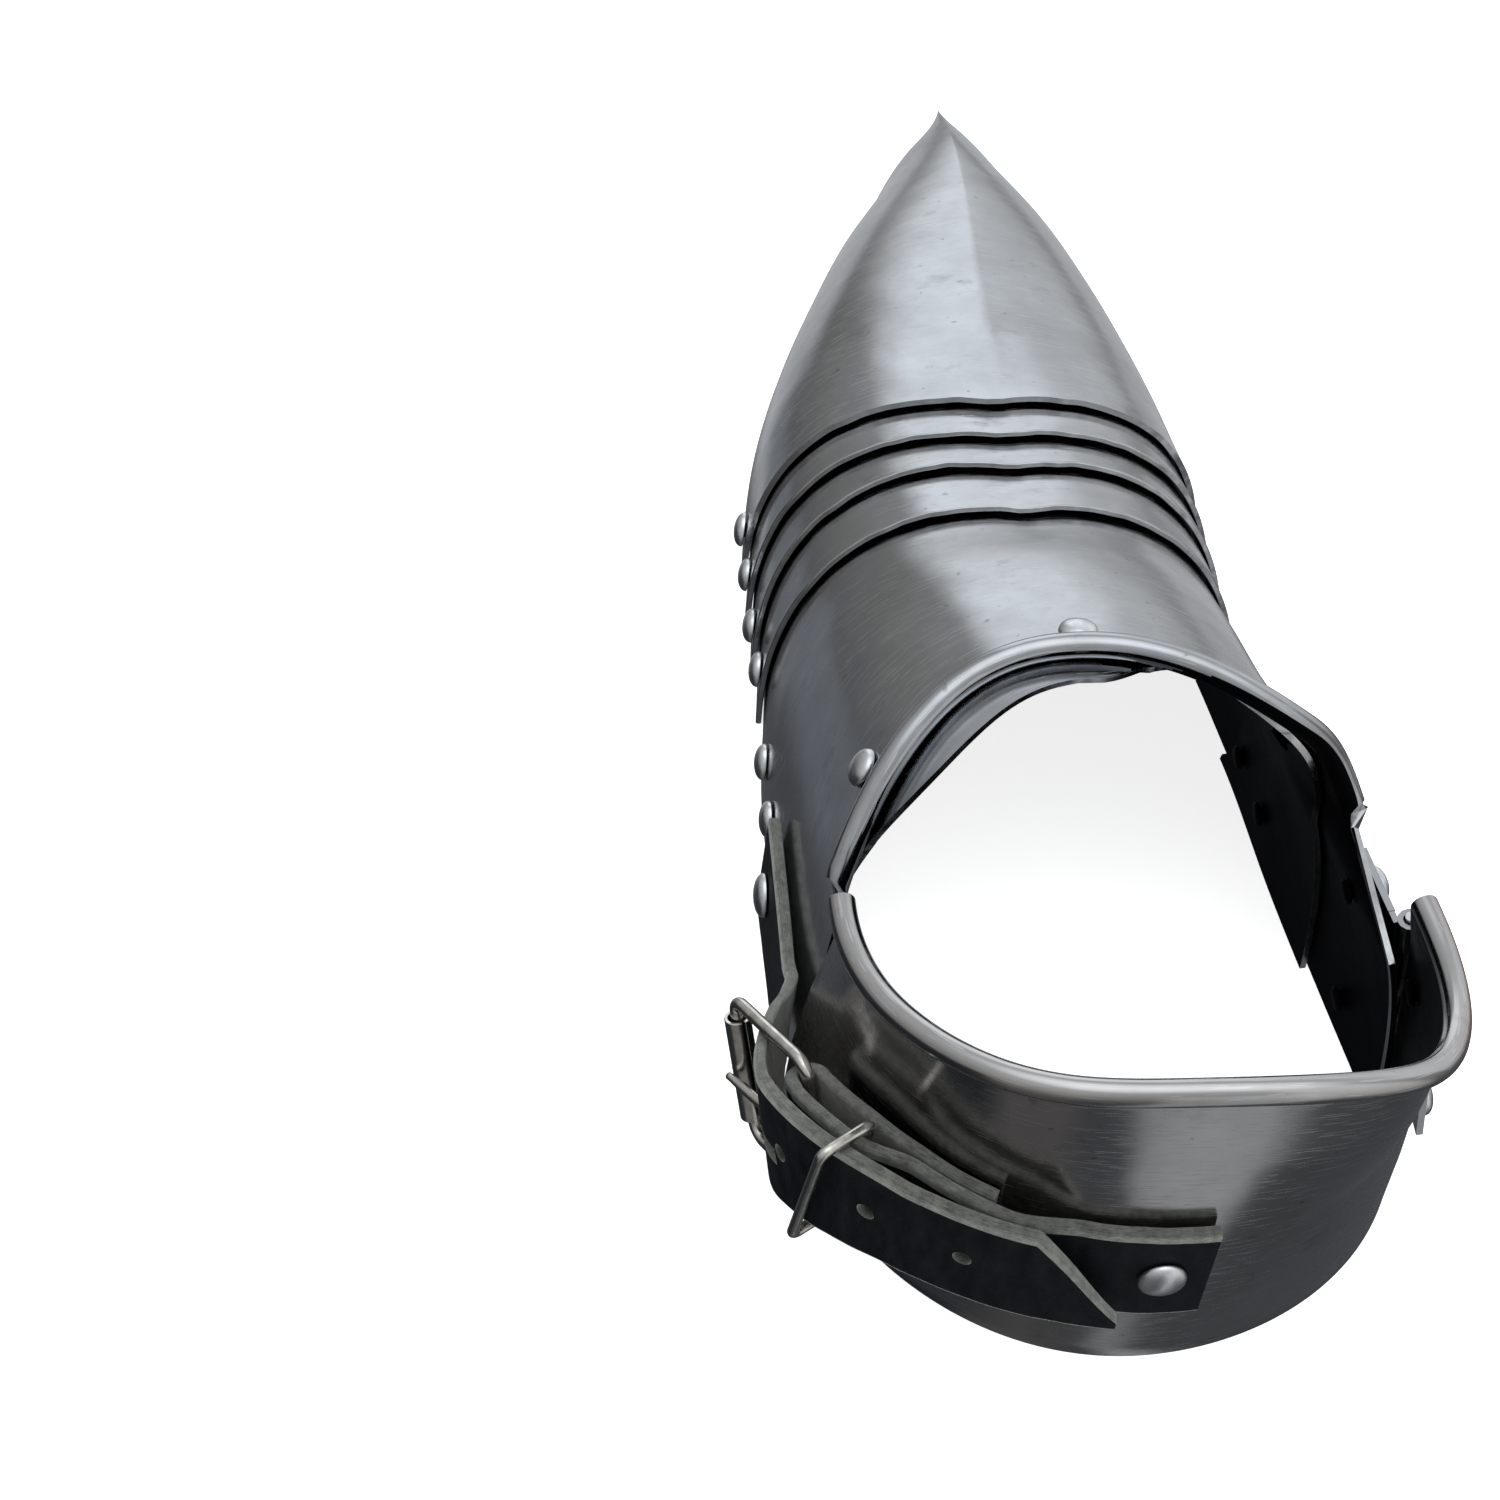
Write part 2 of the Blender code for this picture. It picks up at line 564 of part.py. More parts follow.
class Workshop:
    # Keeps the pieces, the empties they ride on and the holes still to be drilled.
    def __init__(self):
        self.parts = bpy.data.collections.new("sabaton")
        self.cutters = bpy.data.collections.new("sabaton_cutters")
        for collection in (self.parts, self.cutters):
            bpy.context.scene.collection.children.link(collection)
        self.materials = {name: make_material(name) for name in COLOURS}
        self.bodies = {}
        self.holes = {}
        self.rivets = 0

    def body(self, name, place, parent=None):
        empty = bpy.data.objects.new("body_" + name, None)
        self.parts.objects.link(empty)
        empty.location = Vector(place) * MM
        bpy.context.view_layer.update()
        if parent is not None:
            empty.parent = parent
            empty.matrix_parent_inverse = parent.matrix_world.inverted()
        bpy.context.view_layer.update()
        self.bodies[name] = empty
        return empty

    def piece(self, name, mesh, material, body):
        return add_object(name, mesh, self.materials[material], self.bodies[body], self.parts)

    def plate(self, name, points, body):
        thing = self.piece(name, grid_mesh(name, points), "polished_steel", body)
        solid = thing.modifiers.new("sheet", "SOLIDIFY")
        solid.thickness = SHEET * MM
        solid.offset = -1
        solid.use_even_offset = name != "instep_plate"   # its edge goes from flat to rolled in a short way
        solid.use_rim = True
        return thing

    def stack_depths(self, place, out, through, radius):
        # How high the stack of pieces rises and how deep it goes along a rivet, read on a ring round its axis.
        graph = bpy.context.evaluated_depsgraph_get()
        trees = [BVHTree.FromObject(bpy.data.objects[name], graph) for name in through]
        out = Vector(out).normalized()
        side = out.orthogonal().normalized()
        across = out.cross(side)
        high, low = -1e9, 1e9
        for turn in range(9):
            reach = radius if turn else 0.0
            shift = (side * math.cos(turn * math.tau / 8) + across * math.sin(turn * math.tau / 8)) * reach
            for tree in trees:
                start = (Vector(place) + shift + out * RAY_START) * MM
                gone = 0.0
                while gone < 2 * RAY_START:
                    spot, _, _, run = tree.ray_cast(start, -out, (2 * RAY_START - gone) * MM)
                    if spot is None:
                        break
                    gone += run / MM + 0.01
                    high = max(high, RAY_START - gone)
                    low = min(low, RAY_START - gone)
                    start = spot - out * 0.01 * MM
        return high, low

    def rivet(self, name, place, out, body, dome=SMALL_DOME, through=()):
        # The dome sits just off the outermost piece and the tail just off the innermost one.
        high = self.stack_depths(place, out, through, dome)[0]
        low = self.stack_depths(place, out, through, TAIL_RADIUS)[1]
        seat = np.asarray(place) + np.asarray(out) * (high + TOUCH)
        mesh = rivet_mesh(name, dome, high - low + 2 * TOUCH)
        thing = self.piece(name, mesh, "rivet_steel", body)
        matrix = turn_to(out, seat)
        bpy.context.view_layer.update()
        thing.matrix_world = matrix
        turn = thing.modifiers.new("turned", "SCREW")
        turn.steps = 8
        turn.render_steps = 8
        turn.use_merge_vertices = True
        turn.merge_threshold = 0.00001
        turn.use_smooth_shade = True
        self.rivets += 1
        for other in through:
            self.drill(other, matrix, HOLE_RADIUS)

    def drill(self, other, matrix, radius, depth=18.0):
        self.holes.setdefault(other, []).append((matrix.copy(), radius, depth))

    def cutter(self, name, form):
        mesh = bpy.data.meshes.new(name)
        form.to_mesh(mesh)
        form.free()
        thing = add_object(name, mesh, None, self.bodies["instep"], self.cutters)
        thing.hide_render = True
        thing.display_type = "WIRE"
        return thing

    def boolean(self, thing, other, operation="DIFFERENCE"):
        change = thing.modifiers.new(operation.lower(), "BOOLEAN")
        change.operation = operation
        change.solver = "EXACT"
        change.object = other

    def cut_holes(self):
        for name, holes in self.holes.items():
            form = bmesh.new()
            for matrix, radius, depth in holes:
                bmesh.ops.create_cone(form, cap_ends=True, segments=8, radius1=radius * MM, radius2=radius * MM,
                                      depth=depth * MM, matrix=matrix)
            self.boolean(bpy.data.objects[name], self.cutter(name + "_holes", form))


def build_plates(shop, plates, points):
    riding = {"toe_cap": "toe_cap", "lame_1": "lame_1", "lame_2": "lame_2", "lame_3": "lame_3",
              "instep_plate": "instep", "ankle_plate": "instep"}
    for name, body in riding.items():
        shop.plate(name, points[name], body)
    shop.plate("heel_plate", heel_points(), "instep")


def pivot_place(name):
    return REAR_EDGES[name][0] + PIVOT_INSET


def build_pivots(shop, points):
    order = ["toe_cap", "lame_1", "lame_2", "lame_3", "instep_plate"]
    for name, behind in zip(order[:-1], order[1:]):
        for side, word in ((-1, "strap"), (1, "hinge")):
            place, out = surface_spot(points[name], pivot_place(name), PIVOT_HEIGHT, side)
            shop.rivet(f"pivot_rivet_{name}_{word}", place, out, name, through=[name, behind])


def build_fixed_rivets(shop, points):
    both = ["instep_plate", "ankle_plate"]
    plate = points["instep_plate"][:-ROLL_STEPS]
    for side, word in ((-1, "strap"), (1, "hinge")):
        for number, y in enumerate(SIDE_RIVETS, 1):
            place, out = surface_spot(plate, y, SIDE_RIVET_HEIGHT, side)
            shop.rivet(f"side_rivet_{number}_{word}", place, out, "instep", through=both)
        place, out = surface_spot(plate, *RIM_RIVETS[word], side)
        shop.rivet(f"rim_rivet_{word}", place, out, "instep", through=both)
    place, out = surface_spot(plate, *CREST_RIVET, 0)
    shop.rivet("rim_rivet_crest", place, out, "instep", through=both)


def strap_stations(sections, places):
    table = np.array(STRAP_ROUTE)
    heights = np.interp(places, table[:, 0], table[:, 1])
    gaps = np.interp(places, table[:, 0], table[:, 2])
    return [route_frame(sections, p, h, g, slope_of(STRAP_ROUTE, p))
            for p, h, g in zip(places, heights, gaps)]


def chape_frame(sections, place, gap):
    # Round the buckle's bar the slope is that of the bar.
    at = BUCKLE_REAR if abs(place - BUCKLE_REAR) < 3.5 else place
    table = np.array(CHAPE_ROUTE)
    height, under = (np.interp(place, table[:, 0], table[:, k]) for k in (1, 2))
    return route_frame(sections, place, height, under + gap, slope_of(CHAPE_ROUTE, at))


def ribbon_loops(frames, thickness, lows, highs):
    loops = []
    for (spot, out, up, ahead), low, high in zip(frames, lows, highs):
        inner, outer = spot, spot + out * thickness
        loops.append([inner + up * low, inner + up * high, outer + up * high, outer + up * low])
    return loops


def build_strap(shop, sections):
    slant_start = STRAP_END - STRAP_POINT
    places = np.concatenate([np.linspace(STRAP_START, slant_start, 40),
                             np.linspace(slant_start + 2.0, STRAP_END, 6)])
    frames = strap_stations(sections, places)
    half = STRAP_WIDTH / 2
    slant = np.clip((places - slant_start) / STRAP_POINT, 0, 1)
    highs = half - slant * (STRAP_WIDTH - STRAP_TIP)
    lows = np.full_like(places, -half)
    mesh = ribbon_mesh("strap", ribbon_loops(frames, LEATHER, lows, highs))
    shop.piece("strap", mesh, "black_leather", "instep")
    spot, out, up, ahead = strap_stations(sections, [STRAP_RIVET_AT])[0]
    shop.rivet("strap_rivet", spot + out * LEATHER, out, "instep", LARGE_DOME,
               through=["strap", "instep_plate", "ankle_plate"])
    for place in STRAP_HOLES:
        spot, out, up, ahead = strap_stations(sections, [place])[0]
        shop.drill("strap", turn_to(out, spot + out * LEATHER / 2), STRAP_HOLE_RADIUS, 2 * LEATHER)


def build_chape(shop, sections):
    # From the rivet along the heel plate, out over its own short end, round the buckle's bar and back inside.
    mid_gap = LEATHER + CHAPE_GAP / 2
    radius = CHAPE_GAP / 2 + LEATHER / 2
    places = np.linspace(CHAPE_END, BUCKLE_REAR + 2, 30)
    between = TOUCH + (CHAPE_GAP - TOUCH) * soft_step((102.0 - places) / 12.0)
    lift = (LEATHER + between) * soft_step((CHAPE_FOLD_END + 15.0 - places) / 13.0)
    path = list(zip(places, LEATHER / 2 + lift))
    for angle in np.linspace(70, -70, 7):
        t = math.radians(angle)
        path.append((BUCKLE_REAR - radius * math.cos(t), mid_gap + radius * math.sin(t)))
    path += [(place, LEATHER / 2) for place in np.linspace(BUCKLE_REAR + 2, CHAPE_FOLD_END, 14)]
    centres, ups = [], []
    for place, gap in path:
        spot, out, up, ahead = chape_frame(sections, place, gap)
        centres.append(spot)
        ups.append(up)
    centres, ups = np.array(centres), np.array(ups)
    tangent = np.gradient(centres, axis=0)
    side = np.cross(tangent, ups)
    side /= np.linalg.norm(side, axis=1)[:, None]
    half = STRAP_WIDTH / 2
    loops = []
    for c, u, s in zip(centres, ups, side):
        a, b = c - s * LEATHER / 2, c + s * LEATHER / 2
        loops.append([a - u * half, a + u * half, b + u * half, b - u * half])
    chape = shop.piece("chape", ribbon_mesh("chape", loops), "black_leather", "instep")
    spot, out, up, ahead = chape_frame(sections, BUCKLE_REAR, mid_gap)
    slot = block(frame_matrix(spot, ahead, up, out), CHAPE_SLOT)
    shop.boolean(chape, shop.cutter("chape_slot", slot))
    spot, out, up, ahead = chape_frame(sections, CHAPE_RIVET_AT, 0.0)
    shop.rivet("chape_rivet", spot + out * LEATHER, out, "instep", LARGE_DOME,
               through=["chape", "heel_plate"])


def wire_mesh(name, places, thickness, closed, sides=8):
    # A round wire along a line of places, made as a curve and then turned into a mesh.
    curve = bpy.data.curves.new(name, "CURVE")
    curve.dimensions = "3D"
    curve.bevel_depth = thickness / 2 * MM
    curve.bevel_resolution = sides // 4
    curve.use_fill_caps = not closed
    line = curve.splines.new("POLY")
    line.points.add(len(places) - 1)
    for point, place in zip(line.points, places):
        point.co = (*(Vector(place) * MM), 1)
    line.use_cyclic_u = closed
    thing = bpy.data.objects.new(name, curve)
    bpy.context.scene.collection.objects.link(thing)
    bpy.context.view_layer.update()
    mesh = bpy.data.meshes.new_from_object(thing.evaluated_get(bpy.context.evaluated_depsgraph_get()))
    bpy.data.objects.remove(thing)
    form = bmesh.new()
    form.from_mesh(mesh)
    bmesh.ops.remove_doubles(form, verts=form.verts, dist=0.000005)
    bmesh.ops.recalc_face_normals(form, faces=form.faces)
    return finish_mesh(name, form)


def rounded_loop(one, two, up, half, corner, steps=3):
    # A four-cornered loop with rounded corners between two bars at one and two.
    centre = (one + two) / 2
    along = two - one
    reach = np.linalg.norm(along) / 2
    along /= np.linalg.norm(along)
    places = []
    for sign_a, sign_u, first in ((1, 1, 0), (-1, 1, 90), (-1, -1, 180), (1, -1, 270)):
        for k in range(steps + 1):
            t = math.radians(first + 90 * k / steps)
            a = sign_a * (reach - corner) + corner * math.cos(t)
            u = sign_u * (half - corner) + corner * math.sin(t)
            places.append(centre + along * a + up * u)
    return places


def build_buckle(shop, sections):
    mid_gap = LEATHER + CHAPE_GAP / 2
    rear, out_rear, up, ahead = chape_frame(sections, BUCKLE_REAR, mid_gap)
    table = np.array(STRAP_ROUTE)
    under = np.interp(BUCKLE_FRONT, table[:, 0], table[:, 2])
    front_gap = under + LEATHER + ROLLER_RADIUS + ROLLER_LIFT - CHAPE_ROUTE[0][2]
    front = chape_frame(sections, BUCKLE_FRONT, front_gap)[0]
    half = STRAP_WIDTH / 2 + BUCKLE_SIDE
    loop = rounded_loop(front, rear, up, half, BUCKLE_CORNER)
    shop.piece("buckle_frame", wire_mesh("buckle_frame", loop, WIRE, True), "nickel_wire", "instep")
    roller = bmesh.new()
    matrix = turn_to(up, front)
    bmesh.ops.create_cone(roller, cap_ends=True, segments=12, radius1=ROLLER_RADIUS * MM,
                          radius2=ROLLER_RADIUS * MM, depth=2 * (half - ROLLER_SHORT) * MM, matrix=matrix)
    thing = shop.piece("buckle_roller", finish_mesh("buckle_roller", roller), "nickel_wire", "instep")
    bore = bmesh.new()
    bmesh.ops.create_cone(bore, cap_ends=True, segments=12, radius1=(WIRE / 2 + TOUCH) * MM,
                          radius2=(WIRE / 2 + TOUCH) * MM, depth=3 * half * MM, matrix=matrix)
    shop.boolean(thing, shop.cutter("roller_bore", bore))
    along = (rear - front) / np.linalg.norm(rear - front)
    out = np.cross(up, along)
    if out.dot(out_rear) < 0:
        out = -out
    return rear, front, along, out, up


def build_tongue(shop, rear, front, along, out, up):
    # The tongue: an eye round the rear bar and a straight arm laid over the roller.
    radius = TONGUE_WIRE / 2
    eye = WIRE / 2 + TOUCH + radius
    tip = front + out * (ROLLER_RADIUS + TOUCH + radius) + along * 0.5
    turns = np.radians(np.linspace(-160, 95, 10))
    places = [rear + (along * math.cos(t) + out * math.sin(t)) * eye for t in turns]
    places += [places[-1] * (1 - k) + tip * k for k in (0.35, 0.7, 1.0)]
    mesh = wire_mesh("buckle_tongue", places, TONGUE_WIRE, False)
    shop.piece("buckle_tongue", mesh, "nickel_wire", "instep")
    middle = rear + along * TONGUE_SLOT_AT[0] + out * TONGUE_SLOT_AT[1]
    slot = block(frame_matrix(middle, along, up, out), TONGUE_SLOT)
    shop.boolean(bpy.data.objects["strap"], shop.cutter("strap_tongue_slot", slot))


def build_keeper(shop, sections):
    mid_gap = LEATHER + CHAPE_GAP / 2
    table = np.array(STRAP_ROUTE)
    over = np.interp(KEEPER_AT, table[:, 0], table[:, 2]) + LEATHER - np.interp(KEEPER_AT, *np.array(CHAPE_ROUTE)[:, [0, 2]].T)
    one, out, up, ahead = chape_frame(sections, KEEPER_AT, mid_gap)
    two = one + out * (over + TOUCH + KEEPER_WIRE / 2 + KEEPER_PLAY - mid_gap)
    skewed = up * math.cos(KEEPER_SKEW) + ahead * math.sin(KEEPER_SKEW)
    half = (STRAP_WIDTH / 2 + KEEPER_WIRE / 2 + KEEPER_PLAY) / math.cos(KEEPER_SKEW)
    loop = rounded_loop(one, two, skewed, half, KEEPER_CORNER, 2)
    shop.piece("keeper", wire_mesh("keeper", loop, KEEPER_WIRE, True), "nickel_wire", "instep")


def box(form, frame, low, high):
    # A box between two corners in a frame of along, up and out.
    size = np.array(high) - np.array(low)
    middle = (np.array(high) + np.array(low)) / 2
    scale = Matrix.Diagonal((*(size * MM), 1))
    bmesh.ops.create_cube(form, size=1.0, matrix=frame @ Matrix.Translation(Vector(middle) * MM) @ scale)
    bmesh.ops.recalc_face_normals(form, faces=form.faces)


def tube(form, spot, up, low, high, radius):
    middle = spot + up * (low + high) / 2
    bmesh.ops.create_cone(form, cap_ends=True, segments=12, radius1=radius * MM, radius2=radius * MM,
                          depth=(high - low) * MM, matrix=turn_to(up, middle))


def hinge_wall(sections, y):
    # The instep plate's outer wall on the hinge side: a place on it and its directions.
    def on(at_y, z):
        half, share = instep_side(sections, at_y, z, True)
        return np.array([float(half + sway(at_y, share)), at_y, z])
    spot = on(y, HINGE_MID_Z)
    up = on(y, HINGE_MID_Z + 9.0) - on(y, HINGE_MID_Z - 9.0)
    up /= np.linalg.norm(up)
    along = on(y + 12.0, HINGE_MID_Z) - spot
    along -= up * along.dot(up)
    along /= np.linalg.norm(along)
    return spot, along, up, np.cross(along, up)


def hinge_leaf(shop, name, frame, length, knuckles, axis, up, first_out):
    # A leaf, its tabs and its knuckles in one piece, bored for the pin.
    half = HINGE_HEIGHT / 2
    clear = HINGE_RADIUS + TOUCH
    form = bmesh.new()
    box(form, frame, (clear, -half, first_out), (length, half, first_out + HINGE_SHEET))
    leaf = shop.piece(name, finish_mesh(name, form), "polished_steel", "instep")
    tabs = bmesh.new()
    barrels = bmesh.new()
    for low, high in knuckles:
        box(tabs, frame, (0.2, low + 0.2, first_out + 0.1), (clear + 1.0, high - 0.2, first_out + HINGE_SHEET - 0.1))
        tube(barrels, axis, up, low, high, HINGE_RADIUS)
    shop.boolean(leaf, shop.cutter(name + "_tabs", tabs), "UNION")
    shop.boolean(leaf, shop.cutter(name + "_barrels", barrels), "UNION")
    bore = bmesh.new()
    tube(bore, axis, up, -half - 3, half + 3, HINGE_PIN_RADIUS + TOUCH)
    shop.boolean(leaf, shop.cutter(name + "_bore", bore))
    return leaf


def build_hinge(shop, sections):
    y_edge = float(heel_level(HINGE_MID_Z)[3])
    spot, along, up, out = hinge_wall(sections, y_edge + HINGE_RADIUS + 1.2)
    axis = spot + out * HINGE_AXIS_OUT
    third = HINGE_HEIGHT / 6
    half = HINGE_HEIGHT / 2
    frame = frame_matrix(spot, along, up, out)
    hinge_leaf(shop, "hinge_leaf_front", frame, HINGE_LEAF_FRONT, [(-half, -third), (third, half)], axis, up, HINGE_SEAT)
    near, far = (heel_point(np.array([math.acos(c)]), np.array([HINGE_MID_Z]))[0] for c in (0.01, 0.12))
    back = far - near
    back -= up * back.dot(up)
    back /= np.linalg.norm(back)
    out_rear = np.cross(up, back)
    step_out = (near - axis).dot(out_rear) + HINGE_SEAT_REAR
    frame = frame_matrix(axis, back, up, out_rear)
    middle = (-third + TOUCH, third - TOUCH)
    hinge_leaf(shop, "hinge_leaf_rear", frame, HINGE_LEAF_REAR, [middle], axis, up, step_out)
    pin = bmesh.new()
    tube(pin, axis, up, -half - 0.8, half + 0.8, HINGE_PIN_RADIUS)
    shop.piece("hinge_pin", finish_mesh("hinge_pin", pin), "rivet_steel", "instep")
    for sign, word in ((1, "upper"), (-1, "lower")):
        place = spot + along * HINGE_RIVET_FRONT + up * sign * HINGE_RIVET_UP
        shop.rivet(f"hinge_rivet_front_{word}", place, out, "instep",
                   through=["hinge_leaf_front", "instep_plate"])
        place = axis + back * HINGE_RIVET_REAR + up * sign * HINGE_RIVET_UP
        shop.rivet(f"hinge_rivet_rear_{word}", place, out_rear, "instep",
                   through=["hinge_leaf_rear", "heel_plate"])


def report(shop):
    print("rivets", shop.rivets)
    print("pieces", sum(1 for thing in shop.parts.objects if thing.type == "MESH"))


def main():
    clear_scene()
    shop = Workshop()
    plates = plate_sections()
    points = plate_points(plates)
    root = shop.body("instep", (0, 0, 0))
    parent = root
    for name in ("lame_3", "lame_2", "lame_1", "toe_cap"):
        parent = shop.body(name, (0, pivot_place(name), PIVOT_HEIGHT), parent)
    build_plates(shop, plates, points)
    build_pivots(shop, points)
    build_fixed_rivets(shop, points)
    sections = plates["instep_plate"]
    build_strap(shop, sections)
    build_chape(shop, sections)
    fitting = build_buckle(shop, sections)
    build_tongue(shop, *fitting)
    build_keeper(shop, sections)
    build_hinge(shop, sections)
    shop.cut_holes()
    root.location = Vector((-CENTRE_X, -CENTRE_Y, 0)) * MM
    report(shop)


main()
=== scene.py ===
# A steel sabaton with its leather strap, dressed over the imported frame, on a pale floor.
import json
import math
import bmesh
import bpy
import numpy as np
from mathutils import Matrix, Vector


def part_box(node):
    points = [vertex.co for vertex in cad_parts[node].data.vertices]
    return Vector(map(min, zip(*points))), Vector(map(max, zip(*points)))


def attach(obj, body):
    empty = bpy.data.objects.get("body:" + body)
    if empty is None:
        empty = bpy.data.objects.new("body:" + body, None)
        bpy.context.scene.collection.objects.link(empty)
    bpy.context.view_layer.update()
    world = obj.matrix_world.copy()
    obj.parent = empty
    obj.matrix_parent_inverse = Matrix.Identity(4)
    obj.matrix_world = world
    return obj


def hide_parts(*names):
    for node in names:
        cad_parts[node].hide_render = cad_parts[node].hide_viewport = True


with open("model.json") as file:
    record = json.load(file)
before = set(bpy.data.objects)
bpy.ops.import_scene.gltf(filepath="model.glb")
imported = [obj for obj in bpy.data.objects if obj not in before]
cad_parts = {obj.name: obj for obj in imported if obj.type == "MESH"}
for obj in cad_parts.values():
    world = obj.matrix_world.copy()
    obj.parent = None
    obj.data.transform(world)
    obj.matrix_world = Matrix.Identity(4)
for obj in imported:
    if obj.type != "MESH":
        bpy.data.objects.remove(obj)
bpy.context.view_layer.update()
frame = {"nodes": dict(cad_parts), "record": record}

mm = 0.001


def softStep(t):
    # 0 below 0, 1 above 1, an S curve between
    t = np.clip(t, 0, 1)
    return t * t * (3 - 2 * t)


def hermite(values, places):
    # smooth curve through evenly numbered rows of values, read at fractional row numbers
    values = np.asarray(values, float)
    slopes = np.gradient(values, axis=0)
    left = np.clip(np.floor(places).astype(int), 0, len(values) - 2)
    t = (places - left)[:, None]
    a, b = values[left], values[left + 1]
    return (a * (2 * t**3 - 3 * t**2 + 1) + b * (3 * t**2 - 2 * t**3)
            + slopes[left] * (t**3 - 2 * t**2 + t) + slopes[left + 1] * (t**3 - t**2))


def unit(v):
    # each vector over its own length
    return v / np.maximum(np.linalg.norm(v, axis=-1, keepdims=True), 1e-12)


def wobble(u, seed, waves=5):
    # a sum of a few sines with fixed phases: the small unevenness of hand work, about -1 to 1
    rng = np.random.default_rng(seed)
    total = 0 * u
    for k in range(waves):
        total = total + np.sin(u * (2.1 + 3.3 * k) + rng.uniform(0, 6.28)) * rng.uniform(0.5, 1) / (1 + 0.6 * k)
    return total / 1.9


def gridNormals(points):
    # outward direction of a grid: the cross product of its two gradients
    return unit(np.cross(np.gradient(points, axis=0), np.gradient(points, axis=1)))


def runAlong(points, axis=0):
    # distance walked from the first point of a path, or of every line of a grid
    steps = np.linalg.norm(np.diff(points, axis=axis), axis=-1)
    return np.insert(np.cumsum(steps, axis=axis), 0, 0, axis=axis)


def circleIn(one, other, turn):
    # steps round a circle in the plane of two ways: one way by the cosine and the other by the sine
    return one * np.cos(turn)[:, None] + other * np.sin(turn)[:, None]


def indexOf(points):
    # the running number of every point of a grid
    return np.arange(points[..., 0].size).reshape(points.shape[:-1])


def lieOf(points):
    # a sheet's own flat coordinates in centimetres: distance across from its middle line, and distance along
    middle = points.shape[1] // 2
    across = runAlong(points, 1)
    across = across - across[:, middle][:, None]
    along = runAlong(points)[:, middle][:, None] + 0 * across
    return np.stack([across, along], -1) / 10


def lieGrid(along, around):
    # flat coordinates of a wire or a strap in centimetres: distance along and distance round
    return np.stack(np.broadcast_arrays(along[:, None], around[None]), -1).reshape(-1, 2) / 10


def added(name, data):
    # a new object in the scene's own collection
    thing = bpy.data.objects.new(name, data)
    bpy.context.scene.collection.objects.link(thing)
    return thing


def meshFrom(name, verts, faces, materials, slots=None, uv=None):
    # a piece from points in millimetres and an (n, 4) array of corners; a doubled corner makes a triangle
    mesh = bpy.data.meshes.new(name)
    rows = [face[:3] if face[2] == face[3] else face[1:] if face[0] == face[1] else face
            for face in faces.tolist()]
    mesh.from_pydata((verts * mm).tolist(), [], rows)
    for material in materials:
        mesh.materials.append(material)
    if slots is not None:
        mesh.polygons.foreach_set("material_index", np.asarray(slots, np.int32))
    if uv is not None:
        corner = np.zeros(len(mesh.loops), np.int32)
        mesh.loops.foreach_get("vertex_index", corner)
        layer = mesh.uv_layers.new(name="lie")
        layer.data.foreach_set("uv", uv[corner].astype(np.float32).ravel())
    mesh.update()
    return added(name, mesh)


def tidyMesh(piece, weld=0.004, recalc=False):
    # weld doubled points, drop what collapses, smooth shading
    form = bmesh.new()
    form.from_mesh(piece.data)
    bmesh.ops.remove_doubles(form, verts=form.verts, dist=weld * mm)
    bmesh.ops.dissolve_degenerate(form, edges=form.edges, dist=1e-7)
    if recalc:
        bmesh.ops.recalc_face_normals(form, faces=form.faces)
    form.to_mesh(piece.data)
    form.free()
    piece.data.shade_smooth()


def softenEdges(piece, width, segments=2, angle=48):
    # a small bevel on sharp edges
    change = piece.modifiers.new("soft edges", "BEVEL")
    change.width = width * mm
    change.segments = segments
    change.limit_method = "ANGLE"
    change.angle_limit = math.radians(angle)
    change.harden_normals = True


def sheetShell(name, outer, materials, thickness=None, steelRow=None, centre=None):
    # a sheet of even thickness: the outer grid, the same grid moved inwards along its normals, and the strips
    # that join them all round; rows past each column's steelRow are bright on both sides, and the inner side
    # stays on its own side of the centre line, if there is one
    rows, columns = outer.shape[:2]
    inner = outer - gridNormals(outer) * (thickness or shape["sheet"])
    if centre is not None:
        side = np.sign(outer[..., 0] - centre)
        away = np.maximum((inner[..., 0] - centre) * side, 0)
        inner[..., 0] = centre + side * away
    low = outer[..., 2] < 0.01
    inner[..., 2] = np.where(low, outer[..., 2], inner[..., 2])
    index = indexOf(outer)
    outerFaces = np.stack([index[:-1, :-1], index[1:, :-1], index[1:, 1:], index[:-1, 1:]], -1).reshape(-1, 4)
    innerFaces = outerFaces[:, ::-1] + rows * columns
    edges = np.concatenate([outerFaces[:, pair] for pair in ([0, 1], [1, 2], [2, 3], [3, 0])])
    key = np.sort(edges, 1)
    _, first, count = np.unique(key[:, 0] * rows * columns + key[:, 1], return_index=True, return_counts=True)
    rim = edges[first[count == 1]]
    rimFaces = np.stack([rim[:, 1], rim[:, 0], rim[:, 0] + rows * columns, rim[:, 1] + rows * columns], 1)
    innerSlot = np.ones(len(innerFaces), int)
    if steelRow is not None:
        bright = np.arange(rows - 1)[:, None] >= np.broadcast_to(steelRow, columns - 1)
        innerSlot[bright.ravel()] = 0
    slots = np.concatenate([np.zeros(len(outerFaces), int), innerSlot, np.full(len(rimFaces), 2)])
    verts = np.concatenate([outer.reshape(-1, 3), inner.reshape(-1, 3)])
    faces = np.concatenate([outerFaces, innerFaces, rimFaces])
    lie = np.concatenate([lieOf(outer).reshape(-1, 2)] * 2)
    piece = meshFrom(name, verts + home, faces, materials, slots, lie)
    tidyMesh(piece)
    return piece


